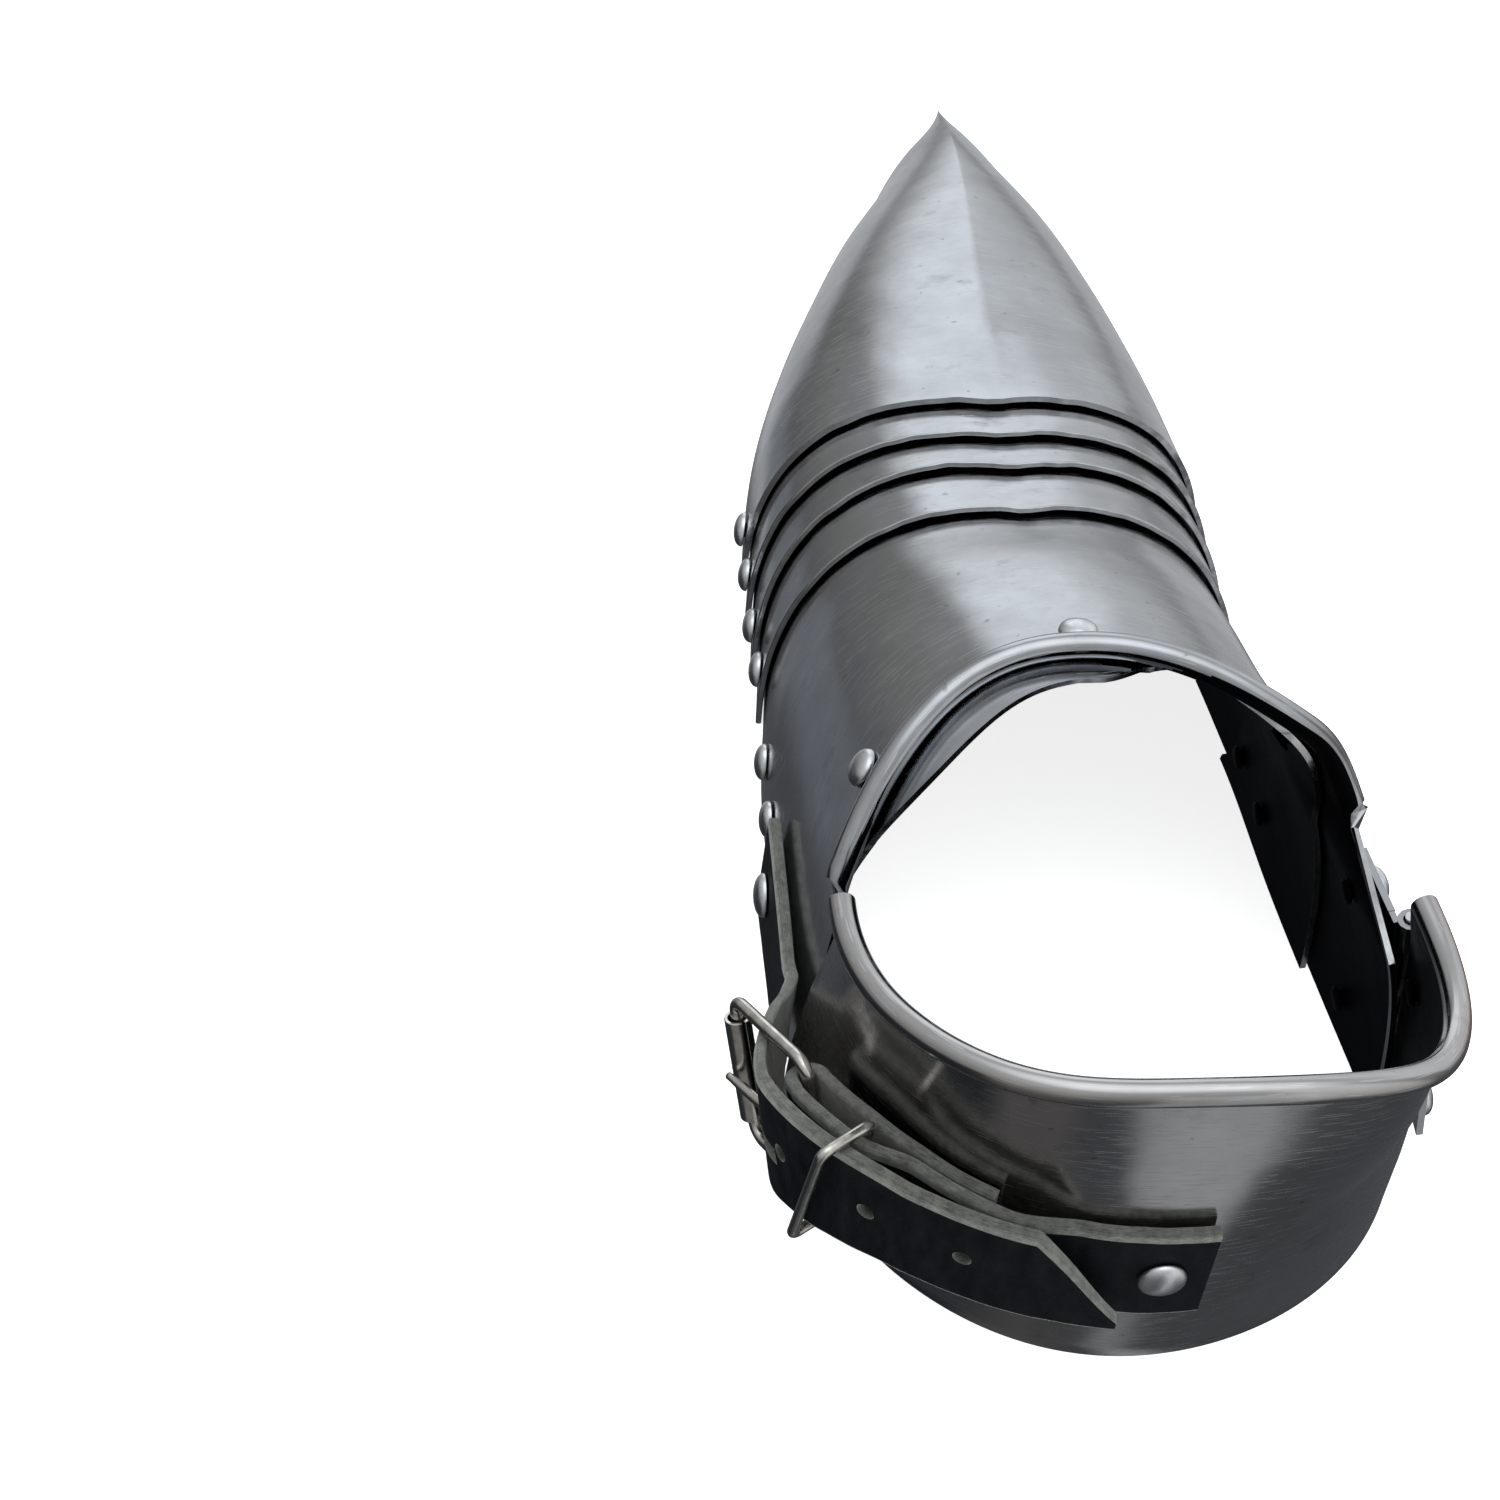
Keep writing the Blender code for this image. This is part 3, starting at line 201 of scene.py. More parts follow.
def platePiece(name, body, points, steel, **more):
    # a plate of the sabaton: steel outside, black paint inside, ground edges a little softened
    piece = sheetShell("fine_" + name, points, [steel, blackPaint, edgeSteel], **more)
    softenEdges(piece, 0.3)
    place(piece, body, "polished_steel", name)


def ringFaces(index, closed=False):
    # quads round a tube between every row of points and the next one; closed joins the last row to the first
    thisRow, nextRow = (index, np.roll(index, -1, 0)) if closed else (index[:-1], index[1:])
    return np.stack([thisRow, np.roll(thisRow, -1, 1), np.roll(nextRow, -1, 1), nextRow], -1).reshape(-1, 4)


def capEnds(faces, verts, uv, index):
    # close both ends of a tube grid with a fan round a middle point
    for row, flip in ((index[0], True), (index[-1], False)):
        middle = len(verts)
        verts = np.vstack([verts, verts[row].mean(0)])
        uv = np.vstack([uv, uv[row].mean(0)])
        two = np.roll(row, -1)
        fan = np.stack([row, two, np.full(len(row), middle), np.full(len(row), middle)], 1)
        faces = np.vstack([faces, fan[:, ::-1] if flip else fan])
    return faces, verts, uv


def closedPiece(name, verts, faces, uv, materials, slots=None):
    # a wire or a strap: its seam welded, its faces turned outwards
    piece = meshFrom(name, verts + home, faces, materials, slots, uv)
    tidyMesh(piece, 0.002, True)
    return piece


def wirePiece(node, path, planeNormal, radii, sides=20, closed=True):
    # a round wire: circles set square to a path that lies in a plane
    ahead = np.roll(path, -1, 0) - np.roll(path, 1, 0) if closed else np.gradient(path, axis=0)
    flat = unit(np.cross(unit(ahead), planeNormal))
    turn = np.linspace(0, math.tau, sides, endpoint=False)
    radii = np.broadcast_to(radii, (len(path),))
    points = path[:, None] + circleIn(flat[:, None], planeNormal, turn) * radii[:, None, None]
    index, verts = indexOf(points), points.reshape(-1, 3)
    faces, uv = ringFaces(index, closed), lieGrid(runAlong(path), turn)
    if not closed:
        faces, verts, uv = capEnds(faces, verts, uv, index)
    piece = closedPiece("fine_" + node, verts, faces, uv, [nickelWire])
    place(piece, "instep", "nickel_wire", node)


def place(piece, body, slot, *nodes):
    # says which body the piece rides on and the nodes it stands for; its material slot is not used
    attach(piece, body)
    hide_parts(*nodes)


# finishes: short helpers for the node trees, then one function for each kind of surface; a helper works in the
# tree that its first link belongs to
def feed(node, inputs):
    # a node's inputs: a link for each output of another node, otherwise a constant
    for key, value in inputs.items():
        if isinstance(value, bpy.types.NodeSocket):
            node.id_data.links.new(value, node.inputs[key])
        else:
            node.inputs[key].default_value = value


def nodeIn(tree, kind, inputs={}, **settings):
    # a node with its settings and inputs
    made = tree.nodes.new(kind)
    for key, value in settings.items():
        setattr(made, key, value)
    feed(made, inputs)
    return made


def mathIn(operation, a, b, clamp=False):
    # one sum, product or the like of two values
    return nodeIn(a.id_data, "ShaderNodeMath", {0: a, 1: b}, operation=operation, use_clamp=clamp).outputs[0]


def spreadIn(value, fromLow, fromHigh, toLow=0, toHigh=1, **settings):
    # a value's range carried over to another range
    ends = {"Value": value, "From Min": fromLow, "From Max": fromHigh, "To Min": toLow, "To Max": toHigh}
    return nodeIn(value.id_data, "ShaderNodeMapRange", ends, **settings).outputs[0]


def noiseIn(vector, scale, detail=3, roughness=0.5, stretch=None, turn=0):
    # noise, squeezed and turned on its own Mapping node
    if stretch is not None:
        turned = {"Vector": vector, "Rotation": (0, 0, turn), "Scale": stretch}
        vector = nodeIn(vector.id_data, "ShaderNodeMapping", turned).outputs[0]
    values = {"Vector": vector, "Scale": scale, "Detail": detail, "Roughness": roughness}
    return nodeIn(vector.id_data, "ShaderNodeTexNoise", values).outputs[0]


def mixIn(share, a, b, **settings):
    # from colour a to colour b by a share
    mixed = {0: share, 6: a, 7: b}
    return nodeIn(share.id_data, "ShaderNodeMix", mixed, data_type="RGBA", **settings).outputs[2]


def bumpIn(height, strength, distance, **before):
    # relief from a height, on top of another relief; distance in millimetres
    values = {"Height": height, "Strength": strength, "Distance": distance * mm, **before}
    return nodeIn(height.id_data, "ShaderNodeBump", values).outputs[0]


def startFinish(name, metallic, constants={}):
    # a material with its shader's constants, and the solid and flat coordinates to build on
    material = bpy.data.materials.new(name)
    material.use_nodes = True
    shader = material.node_tree.nodes["Principled BSDF"]
    feed(shader, {"Metallic": metallic, **constants})
    coords = nodeIn(material.node_tree, "ShaderNodeTexCoord")
    return material, shader, coords.outputs["Object"], coords.outputs["UV"]


def steelFinish(name, tone, dark, rough, brushTurn=0):
    # polished plate: broad unevenness, fine polishing lines along the sheet, stray scratches, thin haze, a few
    # small spots and stains
    material, shader, solid, flat = startFinish(name, 1)
    scratchTone, stainTone = (0.72, 0.73, 0.74, 1), (0.16, 0.16, 0.17, 1)
    broad = noiseIn(solid, 34, 2)
    haze = noiseIn(solid, 70, 4, 0.6)
    lines = noiseIn(flat, 3, 5, 0.7, (0.5, 22, 1), brushTurn)
    linesTwo = noiseIn(flat, 3, 4, 0.7, (9, 0.7, 1), brushTurn + 0.12)
    strayOne = noiseIn(flat, 1, 1, 0.4, (1.1, 34, 1), 0.55)
    strayTwo = noiseIn(flat, 1, 1, 0.4, (0.9, 40, 1), -0.8)
    stray = mathIn("MAXIMUM", spreadIn(strayOne, 0.66, 0.7), spreadIn(strayTwo, 0.67, 0.71), clamp=True)
    colour = mixIn(spreadIn(haze, 0.3, 0.72), dark, tone)
    colour = mixIn(mathIn("MULTIPLY", stray, 0.35), colour, scratchTone)
    spots = spreadIn(noiseIn(solid, 420, 2), 0.7, 0.78, 0, 0.55)
    stain = spreadIn(noiseIn(solid, 90, 3, 0.6), 0.62, 0.74, 0, 0.35)
    colour = mixIn(mathIn("MAXIMUM", spots, stain), colour, stainTone)
    level = spreadIn(lines, 0.25, 0.75, rough - 0.04, rough + 0.04)
    level = mathIn("ADD", level, spreadIn(haze, 0.35, 0.7, 0.03, -0.01))
    level = mathIn("ADD", level, mathIn("MULTIPLY", stray, 0.12))
    normal = bumpIn(broad, 1, 0.4)
    for height, strength, depth in ((lines, 0.14, 0.04), (linesTwo, 0.05, 0.04), (stray, 0.25, -0.04)):
        normal = bumpIn(height, strength, depth, Normal=normal)
    feed(shader, {"Base Color": colour, "Roughness": level, "Normal": normal})
    return material


def paintFinish(name):
    # black paint inside the plates: thin, a little uneven, rubbed in places
    material, shader, solid, flat = startFinish(name, 0, {"Specular IOR Level": 0.02})
    deep, thin, rubbed = (0.0007, 0.0007, 0.0011, 1), (0.0018, 0.0018, 0.0025, 1), (0.012, 0.012, 0.014, 1)
    skin = noiseIn(solid, 900, 3)
    patch = noiseIn(solid, 45, 4, 0.6)
    worn = spreadIn(noiseIn(solid, 260, 5, 0.7), 0.68, 0.74, 0, 0.6)
    colour = mixIn(worn, mixIn(spreadIn(patch, 0.35, 0.7), deep, thin), rubbed)
    feed(shader, {"Base Color": colour, "Roughness": spreadIn(patch, 0.3, 0.7, 0.34, 0.52),
                  "Normal": bumpIn(skin, 0.3, 0.08, Normal=bumpIn(patch, 0.4, 0.4))})
    return material


def leatherFinish(name):
    # dyed grain side: small pebbled cells with creases, satin
    sheen = {"Specular IOR Level": 0.07, "Coat Weight": 0.02, "Coat Roughness": 0.35}
    material, shader, solid, flat = startFinish(name, 0, sheen)
    deep, worn = (0.0028, 0.0034, 0.0045, 1), (0.0065, 0.0075, 0.0095, 1)
    grain = {"Vector": flat, "Scale": 11, "Randomness": 1}
    cells = nodeIn(flat.id_data, "ShaderNodeTexVoronoi", grain, feature="SMOOTH_F1")
    crease = noiseIn(flat, 3.5, 4, 0.6, (1, 0.35, 1))
    fine = noiseIn(flat, 60, 2)
    normal = bumpIn(crease, 0.3, 0.5, Normal=bumpIn(cells.outputs["Distance"], 0.35, 0.12))
    feed(shader, {"Base Color": mixIn(spreadIn(crease, 0.35, 0.7), deep, worn),
                  "Roughness": spreadIn(crease, 0.3, 0.7, 0.42, 0.6),
                  "Normal": bumpIn(fine, 0.2, 0.05, Normal=normal)})
    return material


def fibreFinish(name, light, dark):
    # cut edge and flesh side: matted fibres
    matt = {"Specular IOR Level": 0.15, "Sheen Weight": 0.3, "Sheen Roughness": 0.6, "Roughness": 0.92}
    material, shader, solid, flat = startFinish(name, 0, matt)
    strands = noiseIn(flat, 14, 5, 0.75, (0.35, 3, 1))
    blotch = noiseIn(solid, 420, 4, 0.7)
    mixed = mathIn("ADD", mathIn("MULTIPLY", strands, 0.55), mathIn("MULTIPLY", blotch, 0.45))
    feed(shader, {"Base Color": mixIn(spreadIn(mixed, 0.38, 0.62), dark, light),
                  "Normal": bumpIn(mixed, 0.9, 0.7)})
    return material


def wireFinish(name, tone, dark, rough):
    # plated wire and turned rivets: bright with small handling marks
    material, shader, solid, flat = startFinish(name, 1)
    marks = noiseIn(solid, 350, 4, 0.6)
    broad = noiseIn(solid, 160, 2)
    feed(shader, {"Base Color": mixIn(spreadIn(marks, 0.35, 0.7), dark, tone),
                  "Roughness": spreadIn(marks, 0.3, 0.7, rough + 0.08, rough - 0.04),
                  "Normal": bumpIn(marks, 0.25, 0.12, Normal=bumpIn(broad, 0.6, 0.5))})
    return material


steelLook = {"tone": (0.48, 0.495, 0.515, 1), "dark": (0.38, 0.388, 0.4, 1), "rough": 0.11}
# the heel's copy of the plates' steel: its warmer tone is a painted reflection of the brown surroundings behind
# the heel, and it is a little rougher
heelLookWithPaintedReflection = {"tone": (0.5, 0.49, 0.485, 1), "dark": (0.42, 0.408, 0.4, 1), "rough": 0.15}
toeSteel = steelFinish("polished steel of the toe", **steelLook, brushTurn=1.5)
plateSteel = steelFinish("polished steel of the plates", **steelLook)
heelSteelWithPaintedReflection = steelFinish("polished steel of the heel with a painted warm reflection", **heelLookWithPaintedReflection)
edgeSteel = wireFinish("ground edge", (0.6, 0.61, 0.62, 1), (0.45, 0.45, 0.46, 1), 0.18)
blackPaint = paintFinish("black paint inside")
rivetSteel = wireFinish("rivet steel", (0.8, 0.81, 0.82, 1), (0.6, 0.61, 0.63, 1), 0.27)
nickelWire = wireFinish("nickel wire", (0.72, 0.7, 0.65, 1), (0.5, 0.48, 0.44, 1), 0.22)
blackLeather = leatherFinish("black leather")
rawEdge = fibreFinish("raw leather edge", (0.165, 0.17, 0.145, 1), (0.028, 0.03, 0.025, 1))
fleshSide = fibreFinish("flesh side", (0.12, 0.115, 0.1, 1), (0.045, 0.043, 0.04, 1))
print("finishes made")

# the shape that all plates share: x to the hinge side, y from heel to toe, z up, in millimetres
shape = {"sheet": 1.2, "touch": 0.35, "flexPlay": 0.93, "overlap": 11, "footBand": 2, "creaseReach": 8,
         "heelSway": 7, "ballSway": -1.6, "toeSway": 7, "archLean": 0.6, "hingeFull": 0.55,
         "hingeWider": 0.02, "hingeBlend": 0.8, "rollLength": 5.6, "rollTurn": 268, "rollSteps": 22,
         "across": 132, "heelFrom": 150, "heelReach": 95, "ballFrom": 140, "ballReach": 60,
         "toeFrom": 205, "toeReach": 130}
# the hinge side's rear edge in three steps: rise, share of the height where it starts, share it takes
earSteps = [(0.7, 0.54, 0.1), (0.11, 0.62, 0.14), (0.19, 0.85, 0.15)]


def heelShare(y):
    # 0 at the ball and 1 at the heel, by a power of the way between them
    return np.clip((shape["heelFrom"] - y) / shape["heelReach"], 0, 1) ** 1.5


def swayAt(y, share=0):
    # centre line: the heel and the toe lean to the hinge side, the ball to the strap side; the heel's lean
    # fades towards the crest of an arch
    heel = shape["heelSway"] * heelShare(y) * (1 - shape["archLean"] * share)
    ball = shape["ballSway"] * softStep((y - shape["ballFrom"]) / shape["ballReach"])
    return heel + ball + shape["toeSway"] * softStep((y - shape["toeFrom"]) / shape["toeReach"])


def rearRise(share, sweep, hinge):
    # how far an edge has swung forward at a share of the height: a power of it, but on the hinge side a step
    # above the ear that carries the hinge, then nearly upright up to the crest
    low, middle, crest = (np.clip((share - start) / length, 0, 1) for _, start, length in earSteps)
    lowRise, middleRise, crestRise = (step[0] for step in earSteps)
    stepped = lowRise * softStep(low) + middleRise * softStep(middle) + crestRise * crest ** 2
    return share ** sweep * (1 - hinge) + stepped * hinge


def archGrid(sections, places, columns, edgeShift=None, straightNose=False):
    # each row is a superellipse from floor to floor with a soft crease at the crest; its y runs from the floor
    # value to the crest value as a power of the height share
    rows = hermite(sections, places)
    if straightNose:
        t = np.clip(places, 0, 1)[:, None]
        rows = np.where(places[:, None] < 1, sections[0] * (1 - t) + sections[1] * t, rows)
    yFloor, yCrest, half, height, full, sweep, keel, cusp = (rows[:, k:k + 1] for k in range(8))
    start = np.arccos((shape["footBand"] / height) ** (full / 2))
    angle = start * np.linspace(-1, 1, columns - 2)[None]
    hinge = heelShare(yFloor) * softStep(angle / shape["hingeBlend"])
    power = 2 / (full + shape["hingeFull"] * hinge)
    z = height * np.cos(angle) ** power
    x = half * np.sign(angle) * np.abs(np.sin(angle)) ** power
    x = x * np.where(x > 0, 1 + shape["hingeWider"] * heelShare(yFloor), 1)
    share = z / height
    crease = np.exp(-np.abs(x) / shape["creaseReach"])
    y = yFloor + (yCrest - yFloor) * rearRise(share, sweep, hinge) - cusp * crease * share ** 2
    z = z - keel * (1 - crease) * share ** 2
    z[:, 0] = z[:, -1] = shape["footBand"]
    if edgeShift is not None:
        y = y + edgeShift(x)
    points = np.stack([x + swayAt(y, share), y, z], -1)
    ends = points[:, [0, -1]] * (1, 1, 0)
    return np.concatenate([ends[:, :1], points, ends[:, 1:]], 1)


def inset(section):
    # the outer face of the plate that lies under this one: half width and height less the sheet and a play
    shifted = np.array(section, float)
    shifted[2] -= shape["sheet"] + shape["touch"]
    shifted[3] -= shape["sheet"] + shape["flexPlay"]
    return shifted


def sectionAt(sections, yFloor):
    # the section at a y on the floor, every value on a straight line between its neighbours
    sections = np.asarray(sections, float)
    order = np.argsort(sections[:, 0])
    return np.array([np.interp(yFloor, sections[order, 0], column) for column in sections[order].T])


def rollOut(points, share, flat):
    # carries the last row on as a strip that curls outwards: an arc whose turn follows the share, and whose
    # length goes from a flat part of the roll's at share 0 to the whole at 1
    edge = points[-1]
    along = unit(points[-1] - points[-2])
    out = unit(np.cross(along, np.gradient(edge, axis=0)))
    part = (np.arange(1, shape["rollSteps"] + 1) / shape["rollSteps"])[:, None]
    angle = np.radians(shape["rollTurn"]) * share * part
    run = shape["rollLength"] * (flat + (1 - flat) * share) * part
    curl = np.where(angle > 1e-6, np.sin(angle) / np.maximum(angle, 1e-6), 1)
    lift = np.where(angle > 1e-6, (1 - np.cos(angle)) / np.maximum(angle, 1e-6), 0)
    rows = edge[None] + run[..., None] * (along[None] * curl[..., None] + out[None] * lift[..., None])
    return np.concatenate([points, rows])


# outer faces: y at the floor, y at the crest, half width, crest height, fullness, sweep, keel, cusp
rearEdges = {
    "toe_cap": (196.5, 193.7, 48.3, 57.2, 2.58, 1, 0.5, 2.2),
    "lame_1": (183, 183, 48.6, 57.9, 2.53, 1, 0.5, 2.2),
    "lame_2": (168.5, 172.7, 48.8, 59.2, 2.48, 1, 0.5, 2.2),
    "lame_3": (156.5, 157.3, 48.8, 62, 2.38, 1, 0.5, 2.2),
}
# y, half width, crest height, fullness and keel of the toe cap from its nose back to its rear edge
noseRows = [(341, 0, 16, 1.6, 0.8), (327, 12.8, 22.6, 1.6, 1.6), (311, 19.6, 29.4, 1.68, 1.6),
            (292, 27.8, 35.9, 1.85, 1.6), (270, 34.2, 42.2, 2.08, 1.6), (247, 40.2, 47.4, 2.27, 1.6),
            (222, 45.4, 52.3, 2.42, 1.6)]
toeSections = [(y, y, half, height, full, 1, keel, 0) for y, half, height, full, keel in noseRows]
insteps = [(136, 136, 49.6, 69, 2.32, 1.4, 0.4, 0), (110, 121, 50.8, 74.8, 2.34, 1.8, 0.4, 0),
           (82, 108, 52.3, 79.2, 2.38, 2.4, 0.4, 0), (57, 97.5, 53.5, 82.6, 2.42, 2.6, 0.4, 0)]
plateSections = {"toe_cap": np.array([*toeSections, rearEdges["toe_cap"]])}
plateOrder = ["toe_cap", "lame_1", "lame_2", "lame_3", "instep_plate"]
for before, name in zip(plateOrder, plateOrder[1:]):
    line = np.array(rearEdges[before])
    hidden = inset(sectionAt(plateSections[before], line[0] + shape["overlap"]))
    rear = [rearEdges[name]] if name in rearEdges else insteps
    plateSections[name] = np.array([hidden, inset(line), *rear])

# the frame's own boxes say where the sabaton stands: its toe cap ends at the point, its floor is at zero
columns = shape["across"]
toePlaces = np.concatenate([np.linspace(0, 1, 16), np.linspace(1, 7, 106)[1:]])
coarse = archGrid(plateSections["toe_cap"], toePlaces, columns, straightNose=True)
toeBox = np.array(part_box("toe_cap")) / mm
home = np.array([(toeBox[0, 0] + toeBox[1, 0] - coarse[..., 0].min() - coarse[..., 0].max()) / 2,
                 toeBox[1, 1] - coarse[..., 1].max(), 0])
print("plates are laid out from the toe cap's box:", np.round(home, 2))

# toe cap and lames; the seeds are of the waves in their rear edges
lames = {"seeds": {"toe_cap": 3, "lame_1": 11, "lame_2": 23, "lame_3": 31}, "rows": 26, "waveReach": 12,
         "waveSize": 0.35}
for name, seed in lames["seeds"].items():
    sections = plateSections[name]
    last = len(sections) - 1
    places = toePlaces if name == "toe_cap" else np.linspace(0, last, lames["rows"])
    rearShare = softStep(places - last + 1)[:, None]

    def shift(x, rearShare=rearShare, seed=seed):
        # a small wave along the rear edge, fading as a power of the way to it
        return rearShare ** 6 * wobble(x / lames["waveReach"], seed) * lames["waveSize"]

    points = archGrid(sections, places, columns, shift, name == "toe_cap")
    if name == "toe_cap":
        platePiece(name, name, points, toeSteel, centre=swayAt(points[..., 1]))
    else:
        platePiece(name, name, points, plateSteel)
print("toe cap and lames made")

# instep plate: its rear edge rolls outwards above a height, and its paint ends a little above the hinge
instep = {"rows": 92, "rollLow": 51, "rollFull": 54.5, "rollFlat": 0.35, "hingePaint": 8, "paintFrom": 6,
          "paintReach": 22}
points = archGrid(plateSections["instep_plate"], np.linspace(0, 5, instep["rows"]), columns)
height = points[-1][:, 2]
share = softStep((height - instep["rollLow"]) / (instep["rollFull"] - instep["rollLow"]))
rolled = rollOut(points, share, instep["rollFlat"])
paintedRows = instep["hingePaint"] * softStep((points[-1, 1:, 0] - instep["paintFrom"]) / instep["paintReach"])
platePiece("instep_plate", "instep", rolled, plateSteel, steelRow=len(points) - 1 + paintedRows)


def underPlate(plate, front, rear, rows, depth):
    # a plate under another one: the upper one's outer face read at the wanted y in every column, and moved in
    wanted = front + (rear - front) * np.linspace(0, 1, rows)[:, None]
    spots = [np.stack([np.interp(wanted[:, k], plate[::-1, k, 1], plate[::-1, k, axis]) for axis in (0, 2)], -1)
             for k in range(plate.shape[1])]
    spots = np.stack(spots, 1)
    under = np.stack([spots[..., 0], wanted, spots[..., 1]], -1)
    upright = np.where(under[..., 2:] < shape["footBand"] + 0.01, 0, 1) * (0, 0, 1) + (1, 1, 0)
    return under - gridNormals(under) * upright * depth


# ankle plate: laid under the instep plate, its rear edge further forward on the hinge side
ankle = {"rearFloor": 74, "rearCrest": 92.5, "rearSweep": 13, "hingeForward": 17, "hingeFrom": 2,
         "hingeReach": 26, "frontFloor": 146, "frontCrest": 122, "play": 0.6, "rows": 58}
edge = points[-1]
share = edge[:, 2] / edge[:, 2].max()
rear = ankle["rearFloor"] + (ankle["rearCrest"] - ankle["rearFloor"]) * share ** ankle["rearSweep"]
rear = rear + ankle["hingeForward"] * softStep((edge[:, 0] - ankle["hingeFrom"]) / ankle["hingeReach"])
front = ankle["frontFloor"] + (ankle["frontCrest"] - ankle["frontFloor"]) * share
under = underPlate(points, front, rear, ankle["rows"], shape["sheet"] + ankle["play"])
platePiece("ankle_plate", "instep", under, plateSteel)
print("instep and ankle plates made")

heel = {"topBack": 80.5, "topStrap": 71, "topHinge": 66, "pinch": 3.6, "pinchHeight": 70, "columns": 170,
        "rows": 64}
# height, half strap, half hinge, front strap, front hinge, back, fullness strap, fullness hinge
heelLevels = np.array([(0, 56, 57, 64, 60, 5, 1.9, 2.02),
                       (20, 55.7, 56.6, 61, 60, 2, 1.98, 2.06),
                       (40, 54.1, 54.6, 57.5, 59, 1.2, 2.05, 2.25),
                       (60, 51.6, 51.4, 53.5, 53.5, 2.2, 2.1, 3),
                       (86, 49.2, 49.2, 48, 48, 4.5, 2.12, 3.5)])


def heelPoint(angle, z):
    # half a superellipse in plan at every height; angle 0 is the back, -90 degrees the strap side's front
    angle, z = np.broadcast_arrays(angle, z)
    strapHalf, hingeHalf, strapFront, hingeFront, back, strapFull, hingeFull = (
        np.interp(z, heelLevels[:, 0], heelLevels[:, k]) for k in range(1, 8))
    blend = 0.5 + 0.5 * np.sin(np.clip(angle * 1.5, -math.pi / 2, math.pi / 2))
    half = strapHalf + (hingeHalf - strapHalf) * blend
    front = strapFront + (hingeFront - strapFront) * blend
    power = 2 / (strapFull + (hingeFull - strapFull) * blend)
    x = half * np.sign(np.sin(angle)) * np.abs(np.sin(angle)) ** power
    y = front - (front - back) * np.abs(np.cos(angle)) ** power
    forward = np.clip(1 - np.abs(np.cos(angle)) ** power, 0, 1) * (angle > 0)
    x = x - heel["pinch"] * forward ** 3 * (z / heel["pinchHeight"]) ** 4
    return np.stack([x + swayAt(y), y, z], -1)


angles = np.linspace(-math.pi / 2, math.pi / 2, heel["columns"])
ends = np.where(angles < 0, heel["topStrap"], heel["topHinge"])
top = heel["topBack"] + (ends - heel["topBack"]) * np.sin(angles) ** 2
rowShare = np.linspace(0, 1, heel["rows"])[:, None]
points = heelPoint(angles[None], shape["footBand"] + (top[None] - shape["footBand"]) * rowShare)
points = np.concatenate([points[:1] * (1, 1, 0), points])[:, ::-1]
rolled = rollOut(points, np.ones(heel["columns"]), 1)
# the heel plate's steel has the warmer tone, a painted reflection of the brown surroundings behind it
platePiece("heel_plate", "instep", rolled, heelSteelWithPaintedReflection, steelRow=len(points) - 1)
print("heel plate made")


def rivetAxis(node):
    # the turned node's own axis: the odd one of its three main directions, pointing to the wider end
    mesh = frame["nodes"][node].data
    spots = np.zeros(len(mesh.vertices) * 3, np.float32)
    mesh.vertices.foreach_get("co", spots)
    spots = spots.reshape(-1, 3).astype(float) / mm
    spots = np.unique(np.round(spots, 3), axis=0)
    middle = spots.mean(0)
    values, ways = np.linalg.eigh(np.cov((spots - middle).T))
    odd = 0 if values[1] - values[0] > values[2] - values[1] else 2
    axis = ways[:, odd]
    reach = (spots - middle) @ axis
    away = np.linalg.norm(spots - middle - reach[:, None] * axis, axis=1)
    if away[reach > 0].max() < away[reach < 0].max():
        axis, reach = -axis, -reach
    return middle + axis * reach.max(), axis, reach.max() - reach.min(), away.max()


rivet = {"dome": 2.1, "sides": 40, "rim": 0.02, "bevel": 0.25, "under": 0.12, "shank": 1.5, "tail": 0.9,
         "tailFront": 2.3, "tailWide": 2.5, "tailEnd": 2.1, "oval": 0.025, "lobes": 0.015, "soft": 0.12}


def turnedRivet(node):
    # a profile turned round its axis: low hammered dome, thin edge, shank, and the tail inside
    tip, axis, length, radius = rivetAxis(node)
    seed = sum(map(ord, node))
    end = rivet["dome"] - length
    t = np.linspace(0, 1, 12)
    dome = np.stack([radius * np.sin(t * 1.5), rivet["dome"] * np.cos(t * 1.5) ** 0.85], 1)
    under, tail = -rivet["under"], end + rivet["tail"]
    lower = [(radius, -rivet["rim"]), (radius - rivet["bevel"], under), (rivet["shank"], under),
             (rivet["shank"], tail), (rivet["tailFront"], tail), (rivet["tailWide"], end + rivet["tail"] / 2),
             (rivet["tailEnd"], end), (0, end)]
    profile = np.vstack([dome, lower])
    turn = np.linspace(0, math.tau, rivet["sides"], endpoint=False)
    side = unit(np.cross(axis, [0.3, 0.2, 1]))
    ring = circleIn(side, np.cross(axis, side), turn)
    uneven = 1 + rivet["oval"] * np.sin(turn * 2 + seed) + rivet["lobes"] * np.sin(turn * 3 + seed * 2)
    base = tip - axis * rivet["dome"]
    points = base + profile[:, None, :1] * (ring * uneven[:, None])[None] + profile[:, None, 1:] * axis
    faces = ringFaces(indexOf(points))[:, [0, 3, 2, 1]]
    tailSlots = np.repeat(np.arange(len(profile) - 1) > len(dome) + 1, rivet["sides"])   # painted as inside
    piece = meshFrom("fine_" + node, points.reshape(-1, 3), faces, [rivetSteel, blackPaint], tailSlots)
    tidyMesh(piece, 0.01, True)
    softenEdges(piece, rivet["soft"], angle=50)
    return piece


bodies = frame["record"]["behaviour"]["bodies"]
nodeBody = {member: body for body, members in bodies.items() for member in members}
rivets = [node for node in frame["nodes"] if "rivet" in node]
for node in rivets:
    place(turnedRivet(node), nodeBody[node], "rivet_steel", node)
print("rivets made:", len(rivets))

# the side that the leather lies on, as a table of plans: one for every step of height
route = {"from": 112, "join": 66, "joinTurn": 0.06, "endTurn": 40, "length": 175, "top": 62, "step": 2,
         "inside": (3.92, 60), "reach": 3, "lift": 8, "slopeReach": 4}


